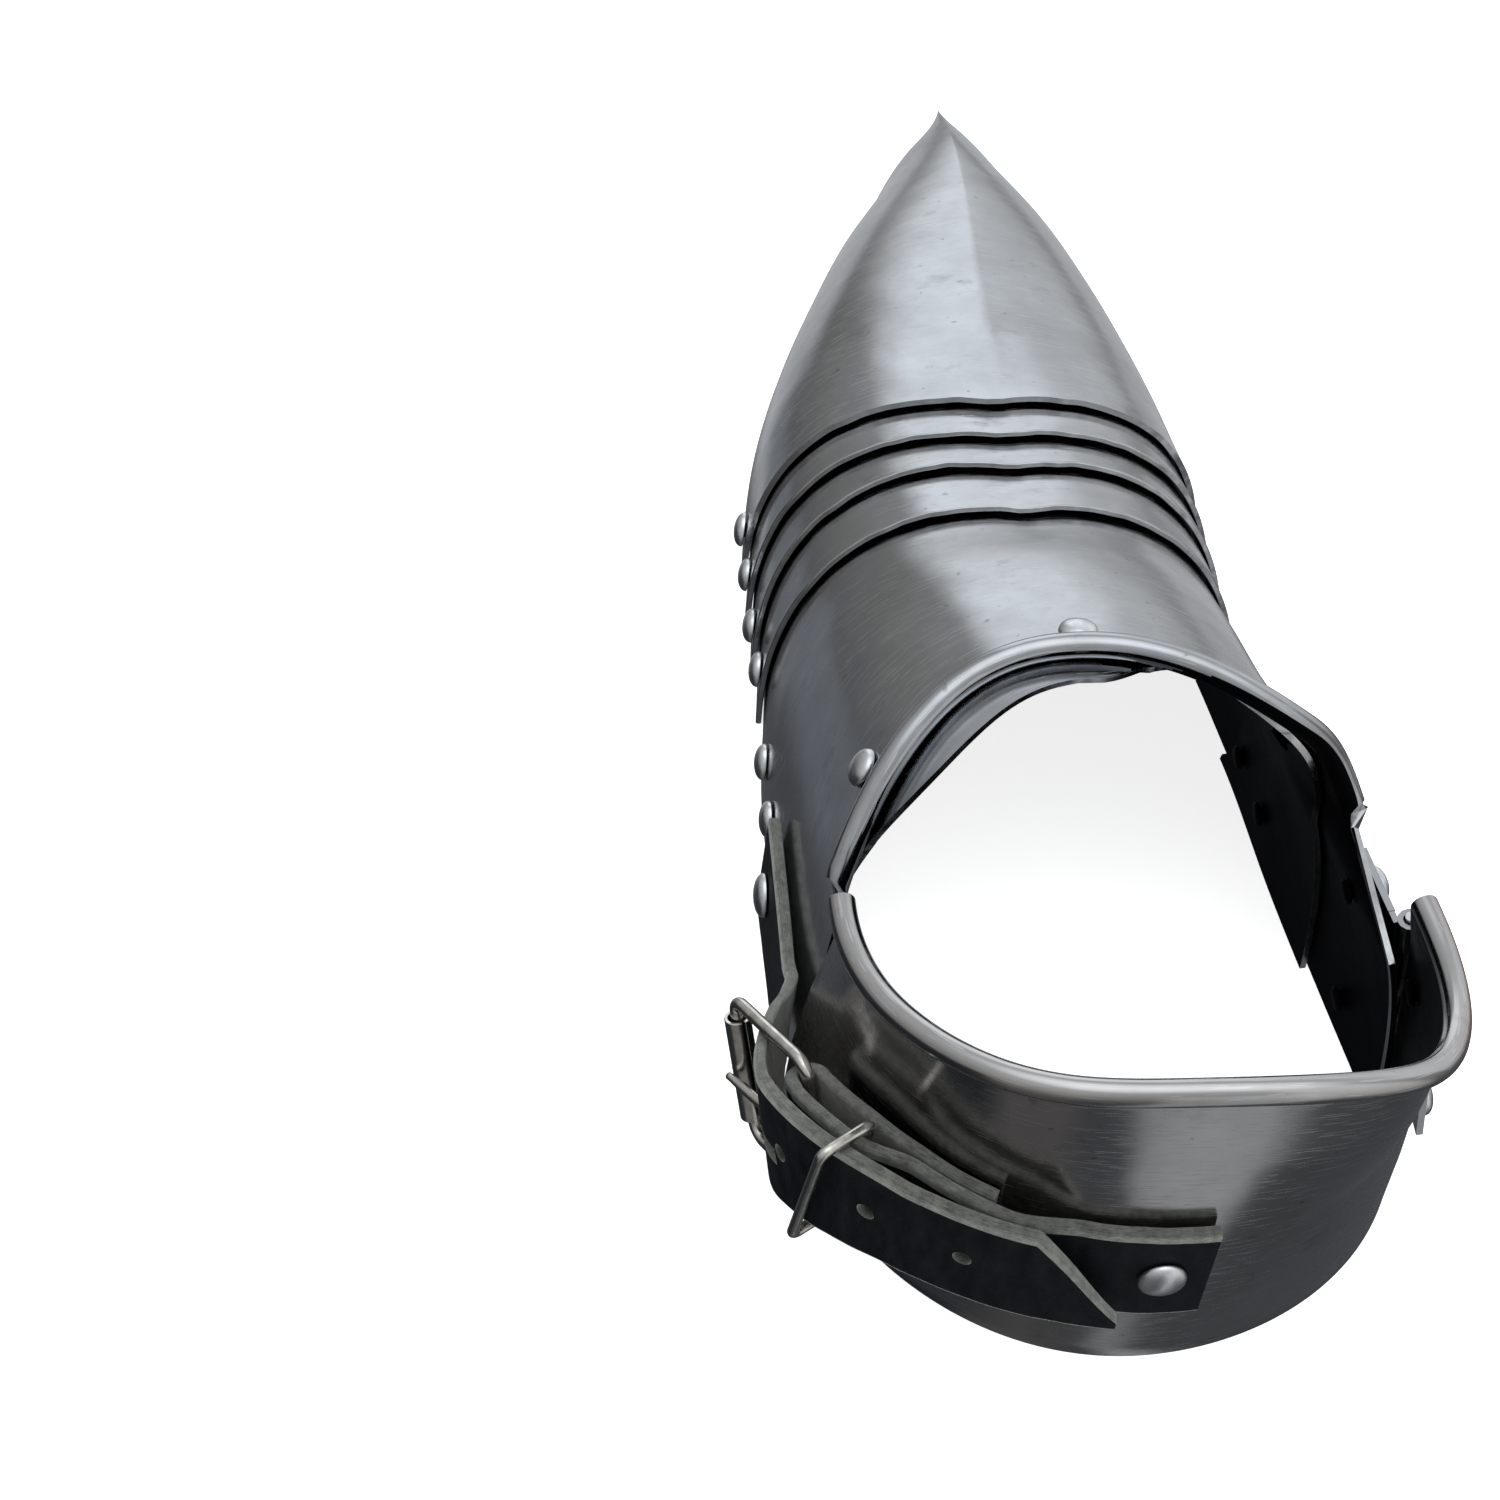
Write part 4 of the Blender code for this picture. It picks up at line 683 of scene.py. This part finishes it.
def instepSide(y, z):
    # half width of the instep plate's outer face on the strap side, and the share of its crest's height
    fine = hermite(plateSections["instep_plate"], np.linspace(0, 5, 200))
    share = np.clip(z / fine[:, 3], 0, 0.999)
    atY = fine[:, 0] + (fine[:, 1] - fine[:, 0]) * share ** fine[:, 5]
    half = fine[:, 2] * (1 - share ** fine[:, 4]) ** (1 / fine[:, 4])
    order = np.argsort(atY)
    return np.interp(y, atY[order], half[order]), np.interp(y, atY[order], share[order])


def sideRoute(z):
    # plan of the strap side at one height: down the instep plate, then round the heel plate, a point every
    # millimetre
    yFront = np.linspace(route["from"], route["join"], 24)
    half, share = instepSide(yFront, z)
    front = np.stack([-half + swayAt(yFront, share), yFront], 1)
    turn = np.linspace(-math.pi / 2 + route["joinTurn"], math.radians(route["endTurn"]), 120)
    plan = np.vstack([front, heelPoint(turn, z)[:, :2]])
    run, places = runAlong(plan), np.arange(0, route["length"], 1)
    return np.stack([np.interp(places, run, plan[:, k]) for k in (0, 1)], 1)


routeHeights = np.arange(0, route["top"], route["step"])
routeTable = np.stack([sideRoute(z) for z in routeHeights])


def routeSpot(place, z):
    # bilinear reading of the table of side plans
    level = np.clip(z / route["step"], 0, len(routeHeights) - 1.001)
    along = np.clip(place, 0, routeTable.shape[1] - 1.001)
    i, j = level.astype(int), along.astype(int)
    s, t = (level - i)[:, None], (along - j)[:, None]
    return ((routeTable[i, j] * (1 - t) + routeTable[i, j + 1] * t) * (1 - s)
            + (routeTable[i + 1, j] * (1 - t) + routeTable[i + 1, j + 1] * t) * s)


def routeFrames(place, z, gap, slope):
    # a place on the side, its outward way, the way across the strap and the way along it: differences of
    # neighbouring places and heights, turned by the slope
    lift = route["lift"]
    (back, fore), (backLow, foreLow), (backHigh, foreHigh) = (
        [routeSpot(place + reach, z + rise) for reach in (-route["reach"], route["reach"])]
        for rise in (0, -lift, lift))
    on = np.column_stack([(back + fore) / 2, z])
    ahead = unit(np.column_stack([fore - back, 0 * z]))
    up = np.column_stack([(backHigh + foreHigh - backLow - foreLow) / 2, 0 * z + 2 * lift])
    up = unit(up - ahead * (up * ahead).sum(1)[:, None])
    out = np.cross(up, ahead)
    outwards = ((out[:, :2] * (on[:, :2] - route["inside"])).sum(1) >= 0)
    out = out * np.where(outwards, 1, -1)[:, None]
    c, s = np.cos(slope)[:, None], np.sin(slope)[:, None]
    return on + out * gap[:, None], out, up * c - ahead * s, ahead * c + up * s


def readAt(table, column, place):
    # a column of a table, on straight lines between its rows
    return np.interp(place, table[:, 0], table[:, column])


def slopeAt(table, place):
    # the angle of a table's height line: its rise over a short reach both ways
    reach = route["slopeReach"]
    return np.arctan2(readAt(table, 1, place + reach) - readAt(table, 1, place - reach), 2 * reach)


def smoothRead(table, column, place):
    # a table column read with its corners rounded: a weighted mean of the readings over a few millimetres
    shifts = np.linspace(-5, 5, 11)
    weights = np.exp(-(shifts / 2.6) ** 2)
    return sum(w * readAt(table, column, place + d) for d, w in zip(shifts, weights)) / weights.sum()


def ribbon(name, middle, across, out, low, high, thickness, corner=0.55):
    # a strap: a rounded four-sided section carried along its middle line; low and high are its two edges
    faceSteps, edgeSteps, arcSteps = 17, 4, 5
    bends = []
    for acrossSign, outSign, start in ((1, 1, 0), (-1, 1, 90), (-1, -1, 180), (1, -1, 270)):
        t = np.radians(start) + np.linspace(0, math.pi / 2, arcSteps)
        bends.append(np.stack([acrossSign + 0 * t, np.cos(t), outSign + 0 * t, np.sin(t)], 1))
    loop, kinds = [], []
    for k, bend in enumerate(bends):
        steps = faceSteps if k % 2 == 0 else edgeSteps
        t = np.linspace(0, 1, steps + 2)[1:-1, None]
        loop += [bend, bend[-1] * (1 - t) + bends[(k + 1) % 4][0] * t]
        kinds += [k * 2] * arcSteps + [k * 2 + 1] * steps
    loop, kinds = np.vstack(loop)[None], np.array(kinds)
    half, centre = (high - low)[:, None] / 2, (high + low)[:, None] / 2
    reach = np.minimum(corner, half * 0.9)
    along = centre + (half - reach) * loop[..., 0] + reach * loop[..., 1]
    rise = thickness / 2 + (thickness / 2 - corner) * loop[..., 2] + corner * loop[..., 3]
    points = middle[:, None] + across[:, None] * along[..., None] + out[:, None] * rise[..., None]
    index = indexOf(points)
    uv = lieGrid(runAlong(middle), runAlong(points[len(points) // 2]))
    faces, verts, uv = capEnds(ringFaces(index), points.reshape(-1, 3), uv, index)
    kind = np.broadcast_to(kinds, index[1:].shape).ravel()
    slots = np.select([kind == 1, kind == 5], [0, 2], 1)       # grain side, flesh side, and the raw edges
    slots = np.concatenate([slots, np.full(len(faces) - len(slots), 1)])
    return closedPiece(name, verts, faces, uv, [blackLeather, rawEdge, fleshSide], slots)


def cutterFrom(form):
    # a cutting body whose walls stay behind as raw edges
    mesh = bpy.data.meshes.new("cutter")
    form.to_mesh(mesh)
    form.free()
    mesh.materials.append(rawEdge)
    return added("cutter", mesh)


def drillAt(spot, axis, radius, depth, sides=24):
    # a cylinder of a depth, its middle at the spot
    form = bmesh.new()
    turn = Vector(axis).to_track_quat("Z", "Y").to_matrix().to_4x4()
    turn.translation = Vector((spot + home) * mm)
    bmesh.ops.create_cone(form, cap_ends=True, segments=sides, radius1=radius * mm, radius2=radius * mm,
                          depth=depth * mm, matrix=turn)
    return cutterFrom(form)


def boxAt(spot, ways, size):
    # a box with a size along each of three ways, its middle at the spot
    form = bmesh.new()
    turn = Matrix([Vector(way) for way in ways]).transposed().to_4x4()
    turn.translation = Vector((spot + home) * mm)
    bmesh.ops.create_cube(form, size=1, matrix=turn @ Matrix.Diagonal((*[s * mm for s in size], 1)))
    bmesh.ops.recalc_face_normals(form, faces=form.faces)
    return cutterFrom(form)


def bored(piece, cutters):
    # the piece less its cutters, kept as its own mesh
    for cutter in cutters:
        change = piece.modifiers.new("punched", "BOOLEAN")
        change.operation = "DIFFERENCE"
        change.solver = "EXACT"
        change.object = cutter
    graph = bpy.context.evaluated_depsgraph_get()
    mesh = bpy.data.meshes.new_from_object(piece.evaluated_get(graph))
    piece.modifiers.clear()
    piece.data = mesh
    for cutter in cutters:
        bpy.data.objects.remove(cutter)
    mesh.shade_smooth()
    mesh.set_sharp_from_angle(angle=math.radians(40))


# place along the side, height of the middle, gap under it
strapRoute = np.array([(0, 14, 0.5), (24, 15, 0.6), (36, 16, 0.9), (46, 18.4, 1.5), (56, 22, 2.4),
                       (66, 27.2, 7.6), (76, 32.4, 12.6), (86, 36.6, 12.4), (98, 38.4, 9.4), (112, 38.2, 7),
                       (126, 38, 5.8), (136, 37, 5)], float)
chapeRoute = np.array([(56, 22, 2), (79, 31.5, 2), (90, 36, 1.6), (100, 37, 0.8), (112, 36.8, 0.5),
                       (130, 35.2, 0.5), (150, 34.2, 0.5)], float)
leather = {"width": 24, "thickness": 2.3, "start": 4, "end": 136, "point": 14, "tip": 2.5, "wave": 0.18,
           "holes": (81, 97, 112), "holeRadius": 1.7, "holeDepth": 5, "slot": (17, 3.4, 16),
           "slotForward": 7.5, "slotOut": 3.5}
buckle = {"front": 58.5, "rear": 79, "gap": 3.5, "wire": 2.4, "corner": 3, "roller": 2.4, "rollerEnd": 4,
          "rollerSheet": 0.7, "reach": 2.2, "side": 2.6, "tongue": 1, "tongueTip": 0.3, "tonguePast": 0.5,
          "soft": 0.15}


def strapFrames(places):
    # frames along the strap, its height and gap read with rounded corners
    height, gap = smoothRead(strapRoute, 1, places), smoothRead(strapRoute, 2, places)
    return routeFrames(places, height, gap, slopeAt(strapRoute, places))


def chapeFrames(places, gap):
    # frames along the chape at a gap above its own; near the bar they all have the bar's slope
    height, under = readAt(chapeRoute, 1, places), readAt(chapeRoute, 2, places)
    at = np.where(np.abs(places - buckle["rear"]) < 3.5, buckle["rear"], places)
    return routeFrames(places, height, under + gap, slopeAt(chapeRoute, at))


def chapeSpot(place, gap):
    # the frame at a single place
    return [rows[0] for rows in chapeFrames(np.array([place]), np.array([gap]))]


# buckle places: the bar in the chape, the roller in front, and the directions of its plane
midGap = leather["thickness"] + buckle["gap"] / 2
rear, rearOut, buckleUp, rearAhead = chapeSpot(buckle["rear"], midGap)
frontGap = (readAt(strapRoute, 2, buckle["front"]) + leather["thickness"] + buckle["roller"] + buckle["reach"]
            - chapeRoute[0, 2])
front = chapeSpot(buckle["front"], frontGap)[0]
buckleAlong = unit(rear - front)
buckleOut = unit(np.cross(buckleUp, buckleAlong))
buckleOut = buckleOut * np.sign(buckleOut @ rearOut)

# strap: cut to a slanted point, with three holes and the slot where the tongue goes through
places = np.linspace(leather["start"], leather["end"], 300)
middle, out, across, along = strapFrames(places)
slant = np.clip((places - leather["end"] + leather["point"]) / leather["point"], 0, 1)
half = leather["width"] / 2
uneven = leather["wave"] * wobble(places / 16, 5)
upperEdge = half - slant * (leather["width"] - leather["tip"]) + uneven * (1 - slant)
strap = ribbon("fine_strap", middle, across, out, -half + uneven, upperEdge, leather["thickness"])
holeSpots, holeWays = strapFrames(np.array(leather["holes"]))[:2]
cutters = [drillAt(spot + way * leather["thickness"] / 2, way, leather["holeRadius"], leather["holeDepth"])
           for spot, way in zip(holeSpots, holeWays)]
slotMiddle = rear - buckleAlong * leather["slotForward"] + buckleOut * leather["slotOut"]
cutters.append(boxAt(slotMiddle, (buckleAlong, buckleUp, buckleOut), leather["slot"]))
bored(strap, cutters)
place(strap, "instep", "black_leather", "strap")

# chape: from its far end under the strap, round the bar and back, lifted off itself up to the fold's end
chape = {"end": 150, "foldEnd": 113, "bar": 2, "openFrom": 102, "openReach": 12, "liftPast": 15,
         "liftReach": 13, "bend": 74, "wave": 0.15, "slot": (13, 4.4, 9.6)}
thickness = leather["thickness"]
lead = np.linspace(chape["end"], buckle["rear"] + chape["bar"], 150)
opening = softStep((chape["openFrom"] - lead) / chape["openReach"])
gapWithin = shape["touch"] + (buckle["gap"] - shape["touch"]) * opening
lift = (thickness + gapWithin) * softStep((chape["foldEnd"] + chape["liftPast"] - lead) / chape["liftReach"])
bend = np.radians(np.linspace(chape["bend"], -chape["bend"], 25))
radius = buckle["gap"] / 2 + thickness / 2
back = np.linspace(buckle["rear"] + chape["bar"], chape["foldEnd"], 70)
pathPlaces = np.concatenate([lead, buckle["rear"] - radius * np.cos(bend), back])
pathGaps = np.concatenate([thickness / 2 + lift, midGap + radius * np.sin(bend), 0 * back + thickness / 2])
middle, out, across, along = chapeFrames(pathPlaces, pathGaps)
smoothed = middle.copy()
for _ in range(3):
    smoothed[1:-1] = (smoothed[:-2] + smoothed[1:-1] * 2 + smoothed[2:]) / 4
side = unit(np.cross(unit(np.gradient(smoothed, axis=0)), across))
uneven = chape["wave"] * wobble(np.arange(len(side)) / 30, 8)
chapePiece = ribbon("fine_chape", smoothed + side * thickness / 2, across, -side, -half + uneven, half + uneven,
                    thickness)
bored(chapePiece, [boxAt(rear, (rearAhead, buckleUp, rearOut), chape["slot"])])
place(chapePiece, "instep", "black_leather", "chape")
print("strap and chape made")


def roundedLoop(oneBar, otherBar, up, half, corner, steps=8):
    # a four-cornered loop with rounded corners between two bars, its points at even distances
    centre = (oneBar + otherBar) / 2
    way = unit(otherBar - oneBar)
    reach = np.linalg.norm(otherBar - oneBar) / 2
    turn = np.radians(np.linspace(0, 90, steps))
    quarters = ((1, 1, 0), (-1, 1, math.pi / 2), (-1, -1, math.pi), (1, -1, 1.5 * math.pi))
    aside = np.concatenate([s * (reach - corner) + corner * np.cos(turn + start) for s, _, start in quarters])
    rise = np.concatenate([s * (half - corner) + corner * np.sin(turn + start) for _, s, start in quarters])
    loop = centre + way * aside[:, None] + up * rise[:, None]
    closed = np.vstack([loop, loop[:1]])
    length = runAlong(closed)
    at = np.linspace(0, length[-1], 161)[:-1]
    return np.stack([np.interp(at, length, closed[:, k]) for k in range(3)], 1)


barHalf = half + buckle["side"]
loop = roundedLoop(front, rear, buckleUp, barHalf, buckle["corner"])
wirePiece("buckle_frame", loop, buckleOut, buckle["wire"] / 2)

# roller: a short tube of thin sheet, its seam along the back
rollerHalf = barHalf - buckle["rollerEnd"]
turn = np.radians(np.linspace(8, 352, 48))
outerRing = front + circleIn(buckleAlong, buckleOut, turn) * buckle["roller"]
stations = np.linspace(-rollerHalf, rollerHalf, 20)
points = outerRing[None] + buckleUp * stations[:, None, None]
if gridNormals(points)[10, 20] @ (points[10, 20] - front - buckleUp * stations[10]) < 0:
    points = points[::-1]
piece = sheetShell("fine_buckle_roller", points, [nickelWire] * 3, thickness=buckle["rollerSheet"])
softenEdges(piece, buckle["soft"])
place(piece, "instep", "nickel_wire", "buckle_roller")

# tongue: an eye round the rear bar and an arm laid over the roller, tapering to its tip
wireHalf = buckle["tongue"]
eye = buckle["wire"] / 2 + shape["touch"] + wireHalf
turn = np.radians(np.linspace(-160, 95, 40))
eyePath = rear + circleIn(buckleAlong, buckleOut, turn) * eye
tip = front + buckleOut * (buckle["roller"] + shape["touch"] + wireHalf) + buckleAlong * buckle["tonguePast"]
t = np.linspace(0, 1, 40)[1:, None]
path = np.vstack([eyePath, eyePath[-1] * (1 - t) + tip * t])
taper = wireHalf - buckle["tongueTip"] * softStep((t[:, 0] - 0.75) / 0.25)
radii = np.concatenate([np.full(40, wireHalf), taper])
wirePiece("buckle_tongue", path, buckleUp, radii, closed=False)

# keeper: a wire loop round both leathers, leaning so that its upper end stands further back
keeper = {"at": 89, "wire": 2, "corner": 1.6, "play": 1, "skew": 27}
oneSpot, keeperOut, keeperUp, keeperAhead = chapeSpot(keeper["at"], midGap)
over = readAt(strapRoute, 2, keeper["at"]) + leather["thickness"] - readAt(chapeRoute, 2, keeper["at"])
twoSpot = oneSpot + keeperOut * (over + shape["touch"] + keeper["wire"] / 2 + keeper["play"] - midGap)
skew = math.radians(keeper["skew"])
keeperUp = keeperUp * math.cos(skew) + keeperAhead * math.sin(skew)
keeperHalf = (half + keeper["wire"] / 2 + keeper["play"]) / math.cos(skew)
loop = roundedLoop(oneSpot, twoSpot, keeperUp, keeperHalf, keeper["corner"])
wirePiece("keeper", loop, unit(np.cross(keeperUp, unit(twoSpot - oneSpot))), keeper["wire"] / 2)
print("buckle and keeper made")

# the hinge stays as it is in the frame and only gets its finishes
hingeLook = {"hinge_leaf_front": plateSteel, "hinge_leaf_rear": plateSteel, "hinge_pin": rivetSteel}
for node, material in hingeLook.items():
    materials = frame["nodes"][node].data.materials
    materials.clear()
    materials.append(material)
print("hinge finished")

# floor: a pale table lit from below
studio = {"floorSize": 12, "floorTone": (0.86, 0.86, 0.86, 1), "floorGlow": 0.95,
          "seenTone": (0.9, 0.9, 0.9, 1)}
floorLook = {"Base Color": studio["floorTone"], "Emission Color": studio["floorTone"],
             "Emission Strength": studio["floorGlow"], "Specular IOR Level": 0.1, "Roughness": 0.9}
corners = np.array([(-1, -1, 0), (1, -1, 0), (1, 1, 0), (-1, 1, 0)]) * studio["floorSize"] / 2 / mm
floor = meshFrom("floor", corners, np.array([(0, 1, 2, 3)]), [startFinish("pale floor", 0, floorLook)[0]])
floor.visible_glossy = False

world = bpy.data.worlds.new("studio")
bpy.context.scene.world = world
world.use_nodes = True
tree = world.node_tree
ways = nodeIn(tree, "ShaderNodeTexCoord").outputs["Generated"]
upwards = nodeIn(tree, "ShaderNodeSeparateXYZ", {0: ways}).outputs["Z"]
ramp = nodeIn(tree, "ShaderNodeValToRGB", {0: spreadIn(upwards, -1, 1)})
# tones of the surroundings from straight below to straight above
stops = [(0, (0.08, 0.083, 0.09)), (0.16, (0.082, 0.086, 0.096)), (0.34, (0.16, 0.165, 0.172)),
         (0.47, (0.285, 0.28, 0.268)), (0.66, (0.44, 0.45, 0.46)), (0.88, (0.66, 0.68, 0.7)),
         (0.95, (1.25, 1.3, 1.35)), (1, (1.7, 1.75, 1.8))]
while len(ramp.color_ramp.elements) < len(stops):
    ramp.color_ramp.elements.new(0.5)
for element, (at, tone) in zip(ramp.color_ramp.elements, stops):
    element.position = at
    element.color = (*tone, 1)


def softIn(value, low, high, toLow=0, toHigh=1):
    # an S curve from one value to another between two ends
    return spreadIn(value, low, high, toLow, toHigh, interpolation_type="SMOOTHSTEP")


def sideOf(azimuth, softness, rightSide):
    # 1 on one side of the upright plane through an azimuth, counted from +Y towards +X
    a = math.radians(azimuth)
    way = (math.cos(a), -math.sin(a), 0) if rightSide else (-math.cos(a), math.sin(a), 0)
    dot = nodeIn(tree, "ShaderNodeVectorMath", {0: ways, 1: way}, operation="DOT_PRODUCT")
    return softIn(dot.outputs["Value"], -softness, softness)


def patchOf(low, high, floorSine, topSine, softAside, softUp):
    # 1 in a patch of the surroundings: the sides of two azimuths times a rise and a fall with height
    share = mathIn("MULTIPLY", sideOf(low, softAside, True), sideOf(high, softAside, False))
    rise = softIn(upwards, floorSine - softUp, floorSine + softUp)
    fall = softIn(upwards, topSine - softUp, topSine + softUp, 1, 0)
    return mathIn("MULTIPLY", share, mathIn("MULTIPLY", rise, fall))


# pale screens round the table: azimuth range, height range as a sine, softness aside and upwards, light
screens = [(-13.5, 80, -0.18, 0.6, 0.06, 0.18, (0.44, 0.46, 0.48)),
           (-10, 16, -0.03, 0.55, 0.08, 0.14, (0.44, 0.47, 0.5)),
           (-20, 32, -0.64, -0.27, 0.06, 0.06, (0.4, 0.41, 0.42)),
           (-60, -20, -0.6, -0.36, 0.08, 0.06, (0.09, 0.1, 0.115)),
           (148, 170, -0.97, 0.3, 0.05, 0.2, (0.38, 0.39, 0.4)),
           (100, 150, -0.5, 0.9, 0.1, 0.3, (0.35, 0.35, 0.35)),
           (-165, -112, -0.95, 0.9, 0.1, 0.3, (0.045, 0.036, 0.028)),
           (34, 60, -0.5, 0.05, 0.08, 0.1, (0.13, 0.055, 0.04))]
# the dark side of the other shoe, low down by the strap: its patch, its share and its tone
shade = {"patch": (-126, -43, -0.97, -0.12, 0.1, 0.12), "share": 0.92, "tone": (0.02, 0.024, 0.03, 1)}
total = ramp.outputs[0]
for *patch, tone in screens:
    total = mixIn(patchOf(*patch), total, (*tone, 1), blend_type="ADD")
total = mixIn(mathIn("MULTIPLY", patchOf(*shade["patch"]), shade["share"]), total, shade["tone"])
seen = nodeIn(tree, "ShaderNodeLightPath").outputs["Is Camera Ray"]
total = mixIn(seen, total, studio["seenTone"])
feed(tree.nodes["Background"], {"Color": total, "Strength": 1})


def softbox(name, place, aim, size, watts, tone=(1, 1, 1)):
    # a rectangular lamp turned towards its aim; steel doesn't mirror it
    light = bpy.data.lights.new(name, "AREA")
    light.shape = "RECTANGLE"
    light.size, light.size_y = size
    light.energy = watts
    light.color = tone
    lamp = added(name, light)
    lamp.location = place
    lamp.rotation_euler = (Vector(aim) - Vector(place)).to_track_quat("-Z", "Y").to_euler()
    lamp.visible_glossy = False


softbox("overhead", (0.1, 0.1, 1.8), (0, 0, 0), (2.2, 2.2), 22)
softbox("window", (0.6, 1.7, 1.2), (0, 0, 0.05), (1.5, 1.2), 10, (0.95, 0.98, 1))

# camera: its spot from the sabaton's own origin, its turns in radians
view = {"spot": (-103.02, -303.81, 502.21), "yaw": -0.11506, "pitch": 0.83324, "roll": -0.07277, "lens": 80.05}
cameraData = bpy.data.cameras.new("camera")
cameraData.sensor_width = 36
cameraData.lens = view["lens"]
cameraData.clip_start = 0.01
camera = added("camera", cameraData)
cosYaw, sinYaw = math.cos(view["yaw"]), math.sin(view["yaw"])
cosPitch, sinPitch = math.cos(view["pitch"]), math.sin(view["pitch"])
cosRoll, sinRoll = math.cos(view["roll"]), math.sin(view["roll"])
ahead, right = Vector((-sinYaw * cosPitch, cosYaw * cosPitch, -sinPitch)), Vector((cosYaw, sinYaw, 0))
down = ahead.cross(right)
upright = right * sinRoll - down * cosRoll
turned = Matrix((right * cosRoll + down * sinRoll, upright, -ahead)).transposed().to_4x4()
turned.translation = Vector((np.array(view["spot"]) + home) * mm)
camera.matrix_world = turned
bpy.context.scene.camera = camera
bpy.context.scene.view_settings.view_transform = "Standard"
print("studio set")
